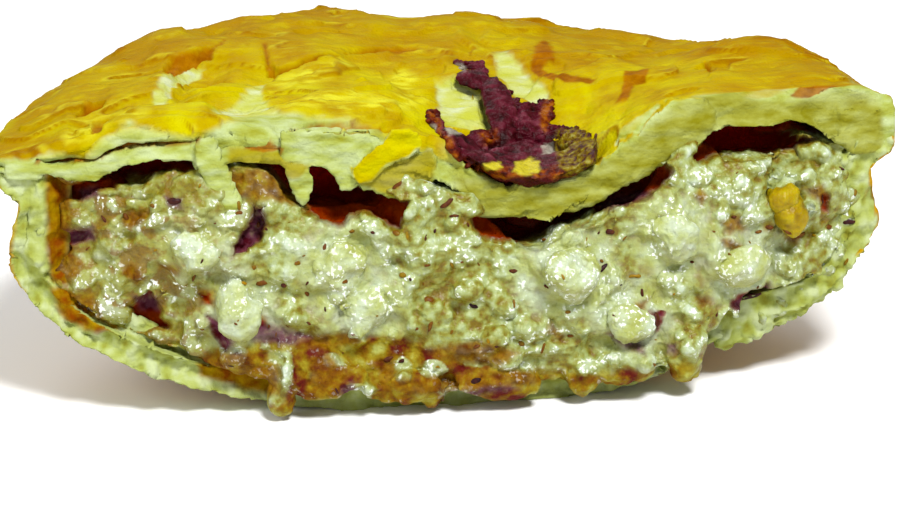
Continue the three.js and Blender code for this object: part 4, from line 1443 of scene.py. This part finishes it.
# Pale streaks: paler egg wash and painted highlights.
pale_noise = golden.between(golden.noise(1.6 * MM, 3, (0.4, 1, 1)), 0.42, 0.6)
gold = golden.mix(golden.sum("MULTIPLY", golden.painted("pale"), pale_noise), gold, (224, 218, 48))
# Brown leaf edges: browning, and painted shade in the cracks.
gold = golden.mix(golden.part(golden.painted("edge"), 0.7), gold, (150, 92, 0))

# %% Golden pastry: dough where leaves tore off, and in the cut
dough = golden.ramp(
    golden.noise(2.2 * MM, 4, (0.6, 1, 1.4)),
    (0.32, (196, 200, 66)),
    (0.5, (206, 212, 116)),
    (0.68, (214, 222, 172)),
)
patchy = golden.between(golden.noise(3 * MM, 4, (0.5, 1, 1)), 0.25, 0.42)
gold = golden.mix(golden.sum("MULTIPLY", golden.painted("torn"), patchy), gold, dough)
cut_dough = golden.ramp(
    golden.noise(2.6 * MM, 4, (0.5, 1, 1.6)),
    (0.32, (160, 162, 44)),
    (0.46, (182, 194, 98)),
    (0.64, (203, 217, 154)),
)
# Darker, more olive dough on the right of the cut.
darker_lip_dough = golden.ramp(
    golden.noise(2.2 * MM, 4, (0.6, 1, 1.6)),
    (0.32, (140, 136, 24)),
    (0.5, (162, 163, 62)),
    (0.68, (182, 187, 100)),
)
cut_dough = golden.mix(golden.painted("damp"), cut_dough, darker_lip_dough)
gold = golden.mix(golden.painted("cut"), gold, cut_dough)

# %% Golden pastry: painted shade, rust, and painted shade in the hollows
gold = golden.mix(golden.part(golden.painted("shaded"), 0.8), gold, (168, 152, 6))
# The gap between leaves: painted shade.
gold = golden.mix(golden.painted("gap"), gold, (150, 84, 0))
# Rust on blisters and slits; along the cracks it is painted shade.
rust_color = golden.ramp(golden.noise(2.0 * MM, 3), (0.35, (136, 58, 0)), (0.6, (172, 102, 0)))
gold = golden.mix(golden.part(golden.painted("rust"), 0.85), gold, rust_color)
# Lid underside in the hollows: painted shade.
gold = golden.mix(golden.painted("inside"), gold, (190, 48, 0))
golden.color(gold)
golden.bump((golden.noise(1.4 * MM, 5, (0.6, 1, 1)), 0.4 * MM), (golden.noise(0.4 * MM, 2), 0.12 * MM))
finish_piece(lid, "golden_pastry", golden.material, "pastry_lid")

# %% [markdown]
# ### Baked case
#
# The outside is matt gold with darker patches near the base, where the tin was hottest. Its cut is
# pale crumb, darker in its hollows as painted shade, and the wall that faces the filling is wet and
# brown, partly painted shade.

# %% Baked case
baked = Finish("baked_case", 0.6, Specular_IOR_Level=0.05, Specular_Tint=(1.0, 0.9, 0.3, 1.0))
shell_gold = baked.ramp(
    baked.noise(9 * MM, 5), (0.3, (186, 124, 0)), (0.5, (208, 164, 2)), (0.7, (218, 192, 30)),
)
shell_gold = baked.mix(baked.part(baked.painted("low"), 0.55), shell_gold, (168, 100, 2))
crumb_noise = baked.part(baked.noise(1.8 * MM, 4), 0.5)
# Crumb darker in its hollows: painted shade.
crumb_color = baked.ramp(
    baked.sum("ADD", baked.part(baked.painted("high"), 0.5), crumb_noise),
    (0.25, (152, 150, 48)),
    (0.4, (172, 182, 84)),
    (0.55, (188, 200, 116)),
    (0.72, (206, 218, 160)),
)
# Brown-orange in the gap beside the wall and under the filling: painted shade on wet crust.
soak_and_shade_color = baked.ramp(baked.noise(2.4 * MM, 4), (0.35, (136, 66, 0)), (0.6, (170, 134, 2)))
# The wall's inner side, facing the filling: wet, and painted dark red-brown as painted shade.
wet_and_shaded = baked.ramp(baked.noise(5 * MM, 3), (0.35, (132, 52, 4)), (0.65, (166, 104, 8)))
shell = baked.mix(baked.painted("outer"), wet_and_shaded, shell_gold)
shell = baked.mix(baked.painted("cut"), shell, crumb_color)
shell = baked.mix(baked.painted("soaked_and_shaded"), shell, soak_and_shade_color)
baked.color(shell)
baked.bump((baked.noise(1.5 * MM, 5), 0.35 * MM), (baked.noise(0.4 * MM, 2), 0.1 * MM))
finish_piece(case, "pastry", baked.material, "pastry_case")

# %% [markdown]
# ### Creamy filling
#
# The sauce is moist, so every small bump throws a tiny bright glint. Its high spots are painted
# cream, as painted highlight, and its slopes yellow-olive and its creases brown, as painted shade.
# A little light travels under the surface.

# %% Creamy filling: cream, creases and meat
sauce = Finish("creamy_sauce", 0.2, Subsurface_Weight=0.2, Subsurface_Scale=0.8 * MM)
sauce.shader.inputs["Subsurface Radius"].default_value = (1.0, 0.9, 0.6)
speck = sauce.part(sauce.sum("SUBTRACT", sauce.noise(1.0 * MM, 4), 0.5), 0.9)
height = sauce.sum("ADD", sauce.painted("high"), speck)
# Colour by height: pale high spots are painted highlight, olive and brown creases painted shade.
sauce_color = sauce.ramp(
    height,
    (0.02, (130, 106, 18)),
    (0.16, (150, 147, 52)),
    (0.33, (170, 181, 104)),
    (0.54, (190, 204, 150)),
    (0.8, (215, 229, 203)),
)
meat_color = sauce.ramp(
    sauce.noise(3.0 * MM, 4),
    (0.34, (180, 188, 96)),
    (0.48, (196, 208, 142)),
    (0.62, (211, 224, 190)),
)
color = sauce.mix(sauce.painted("meat"), sauce_color, meat_color)
# Undersides painted olive: painted shade.
color = sauce.mix(sauce.part(sauce.painted("under"), 0.5), color, (166, 156, 44))

# %% Creamy filling: the left side, and painted shade in the low band, brown patches, caves and purple hollows
spots = sauce.between(sauce.noise(2.4 * MM, 4), 0.5, 0.6)
left_spots = sauce.sum("MULTIPLY", sauce.painted("left"), spots)
color = sauce.mix(sauce.part(sauce.painted("left"), 0.4), color, (150, 144, 30))
color = sauce.mix(sauce.part(left_spots, 0.75), color, (138, 98, 6))
low_band_shade = sauce.ramp(
    sauce.noise(2.6 * MM, 4),
    (0.36, (106, 28, 16)),
    (0.47, (144, 106, 4)),
    (0.57, (166, 150, 34)),
    (0.7, (190, 194, 100)),
)
# The low band, less on high spots: painted shade.
shaded_low = sauce.sum("SUBTRACT", sauce.painted("low"), sauce.part(sauce.painted("high"), 0.4))
color = sauce.mix(sauce.between(shaded_low, 0.0, 0.9), color, low_band_shade)
# Brown patches: browned juice and painted shade.
brown = sauce.ramp(
    sauce.noise(1.6 * MM, 4),
    (0.35, (96, 34, 2)),
    (0.55, (146, 98, 0)),
    (0.7, (170, 146, 24)),
)
color = sauce.mix(sauce.part(sauce.painted("brown"), 0.85), color, brown)
# Caves painted red-brown, the deepest reddest: painted shade.
near_light = sauce.ramp(sauce.noise(2.0 * MM, 3), (0.35, (130, 22, 0)), (0.65, (160, 58, 0)))
cave_color = sauce.mix(sauce.painted("deep"), near_light, (184, 24, 0))
color = sauce.mix(sauce.painted("cave"), color, cave_color)
# Purple hollows: painted shade.
purple = sauce.ramp(
    sauce.noise(1.4 * MM, 4),
    (0.35, (70, 12, 30)),
    (0.55, (112, 66, 84)),
    (0.72, (150, 128, 104)),
)
color = sauce.mix(sauce.part(sauce.painted("purple"), 0.9), color, purple)

# %% Creamy filling: gloss and glints
GLINT_WHITE = (286, 292, 282)
ROUGHNESS_WHERE_DULL, ROUGHNESS_WHERE_WET, GLOSS_WHERE_WET = 0.6, 0.28, 0.26
wet_part = sauce.sum("SUBTRACT", 1.0, sauce.painted("dull"))
smoother = sauce.part(wet_part, ROUGHNESS_WHERE_DULL - ROUGHNESS_WHERE_WET)
roughness = sauce.sum("SUBTRACT", ROUGHNESS_WHERE_DULL, smoother)
sauce.links.new(roughness, sauce.shader.inputs["Roughness"])
gloss = sauce.part(wet_part, GLOSS_WHERE_WET)
sauce.links.new(gloss, sauce.shader.inputs["Specular IOR Level"])
glint = sauce.between(sauce.noise(0.5 * MM, 1), 0.56, 0.63)
glint_zone = sauce.between(sauce.noise(6 * MM, 2), 0.34, 0.54)
for limit in (glint_zone, sauce.between(sauce.painted("high"), 0.3, 0.5), wet_part):
    glint = sauce.sum("MULTIPLY", glint, limit)
color = sauce.mix(sauce.part(glint, 0.9), color, GLINT_WHITE)
sauce.color(color)
sauce.bump(
    (sauce.noise(0.9 * MM, 4), 0.34 * MM),
    (sauce.cells(0.6 * MM), 0.1 * MM),
    (sauce.noise(0.25 * MM, 2), 0.06 * MM),
)
finish_piece(filling, "filling", sauce.material, "filling")
for node, piece in zip(chicken_nodes, meat_pieces):
    finish_piece(piece, "chicken", sauce.material, node)

# %% [markdown]
# ### Herbs, carrot and burnt sauce
#
# The herbs run from orange-brown to purple-black. The carrot is the only orange thing in the face.
# The burnt sauce is purple-black with orange-brown edges and an olive lobe on the right.

# %% Finish of the herbs
leafy = Finish("herbs", 0.45, Specular_IOR_Level=0.15)
mottle = leafy.part(leafy.sum("SUBTRACT", leafy.noise(0.5 * MM), 0.5), 0.5)
leafy.color(leafy.ramp(
    leafy.sum("ADD", leafy.painted("tone"), mottle),
    (0.0, (178, 132, 0)),
    (0.25, (140, 110, 0)),
    (0.5, (118, 68, 0)),
    (0.75, (84, 34, 12)),
    (1.0, (44, 8, 18)),
))
leafy.bump((leafy.noise(0.4 * MM, 3), 0.1 * MM))
finish_piece(flecks, "filling", leafy.material)

# %% Finish of the carrot
orange = Finish(
    "cooked_carrot", 0.3, Specular_IOR_Level=0.15, Subsurface_Weight=0.1, Subsurface_Scale=1 * MM,
)
# Colour by height: darker in the carrot's creases, as painted shade.
orange.color(orange.ramp(
    orange.sum("ADD", orange.painted("high"), orange.sum("SUBTRACT", orange.noise(1.5 * MM), 0.5)),
    (0.1, (142, 112, 0)), (0.45, (172, 144, 0)), (0.8, (190, 168, 4)),
))
orange.bump((orange.noise(0.7 * MM, 4), 0.3 * MM))
finish_piece(carrot, "carrot", orange.material, "carrot")

# %% Finish of the burnt sauce
char = Finish("burnt_sauce", 0.36, Specular_IOR_Level=0.08)
# Lighter mauve on high wrinkles, near black in low ones: painted highlight and painted shade.
dark = char.ramp(
    char.sum("ADD", char.painted("high"), char.sum("SUBTRACT", char.noise(1.2 * MM, 4), 0.5)),
    (0.15, (40, 0, 2)), (0.4, (66, 2, 14)), (0.65, (88, 14, 32)), (0.95, (122, 52, 66)),
)
rusty = char.ramp(
    char.noise(1.2 * MM, 4),
    (0.38, (72, 12, 4)),
    (0.5, (122, 44, 0)),
    (0.64, (164, 92, 0)),
)
dark = char.mix(char.painted("rusty"), dark, rusty)
lobe = char.ramp(
    char.noise(1.0 * MM, 4),
    (0.38, (70, 30, 30)),
    (0.48, (112, 84, 0)),
    (0.58, (138, 118, 4)),
    (0.7, (166, 158, 74)),
)
dark = char.mix(char.painted("olive"), dark, lobe)
dark = char.mix(char.painted("yellow"), dark, (206, 192, 40))
glint = char.sum("MULTIPLY", char.painted("glint"), char.noise(0.8 * MM))
dark = char.mix(char.part(glint, 1.2), dark, (196, 192, 172))
# Darker towards its lower edge.
dark = char.mix(char.painted("sunk"), dark, (70, 10, 4))
char.color(dark)
char.bump((char.noise(0.9 * MM, 4), 0.4 * MM), (char.noise(0.3 * MM, 2), 0.1 * MM))
finish_piece(burnt, "burnt", char.material, "burnt_filling")

# %% [markdown]
# ## Stage
#
# A plain pale floor, a large soft light from above and in front, a second from the left, a third
# from behind, and a pale sky. Small lamps would burn out the wet filling, so all of them are broad.

# %% Floor
FLOOR_SIZE = 6
FLOOR_PALENESS = 0.9
bpy.ops.mesh.primitive_plane_add(size=FLOOR_SIZE, location=(0, 0, 0))
floor = bpy.context.object
floor.name = "floor"
paper = Finish("pale_floor", 0.9)
paper.shader.inputs["Base Color"].default_value = (*[FLOOR_PALENESS] * 3, 1.0)
floor.data.materials.append(paper.material)

# %% Sky
SKY = 0.32
world = bpy.data.worlds.new("pale_sky")
bpy.context.scene.world = world
world.use_nodes = True
world.node_tree.nodes["Background"].inputs["Color"].default_value = (1, 1, 1, 1)
world.node_tree.nodes["Background"].inputs["Strength"].default_value = SKY

# %% Lights
LIT_HEIGHT = 20 * MM


def soft_light(name, spot, size, power):
    """A square lamp that looks at the middle of the pie; size in metres, power in watts."""
    bpy.ops.object.light_add(type="AREA", location=spot)
    lamp = bpy.context.object
    lamp.name = name
    lamp.data.size = size
    lamp.data.energy = power
    aim = Vector((0, 0, LIT_HEIGHT)) - lamp.location
    lamp.rotation_mode = "QUATERNION"
    lamp.rotation_quaternion = aim.to_track_quat("-Z", "Y")


soft_light("key_light", (0.10, -0.40, 0.60), 0.16, 7.0)
soft_light("left_light", (-0.5, -0.25, 0.35), 0.3, 1.4)
soft_light("back_light", (-0.1, 0.5, 0.5), 0.4, 1.6)
bpy.context.scene.view_settings.view_transform = "Standard"
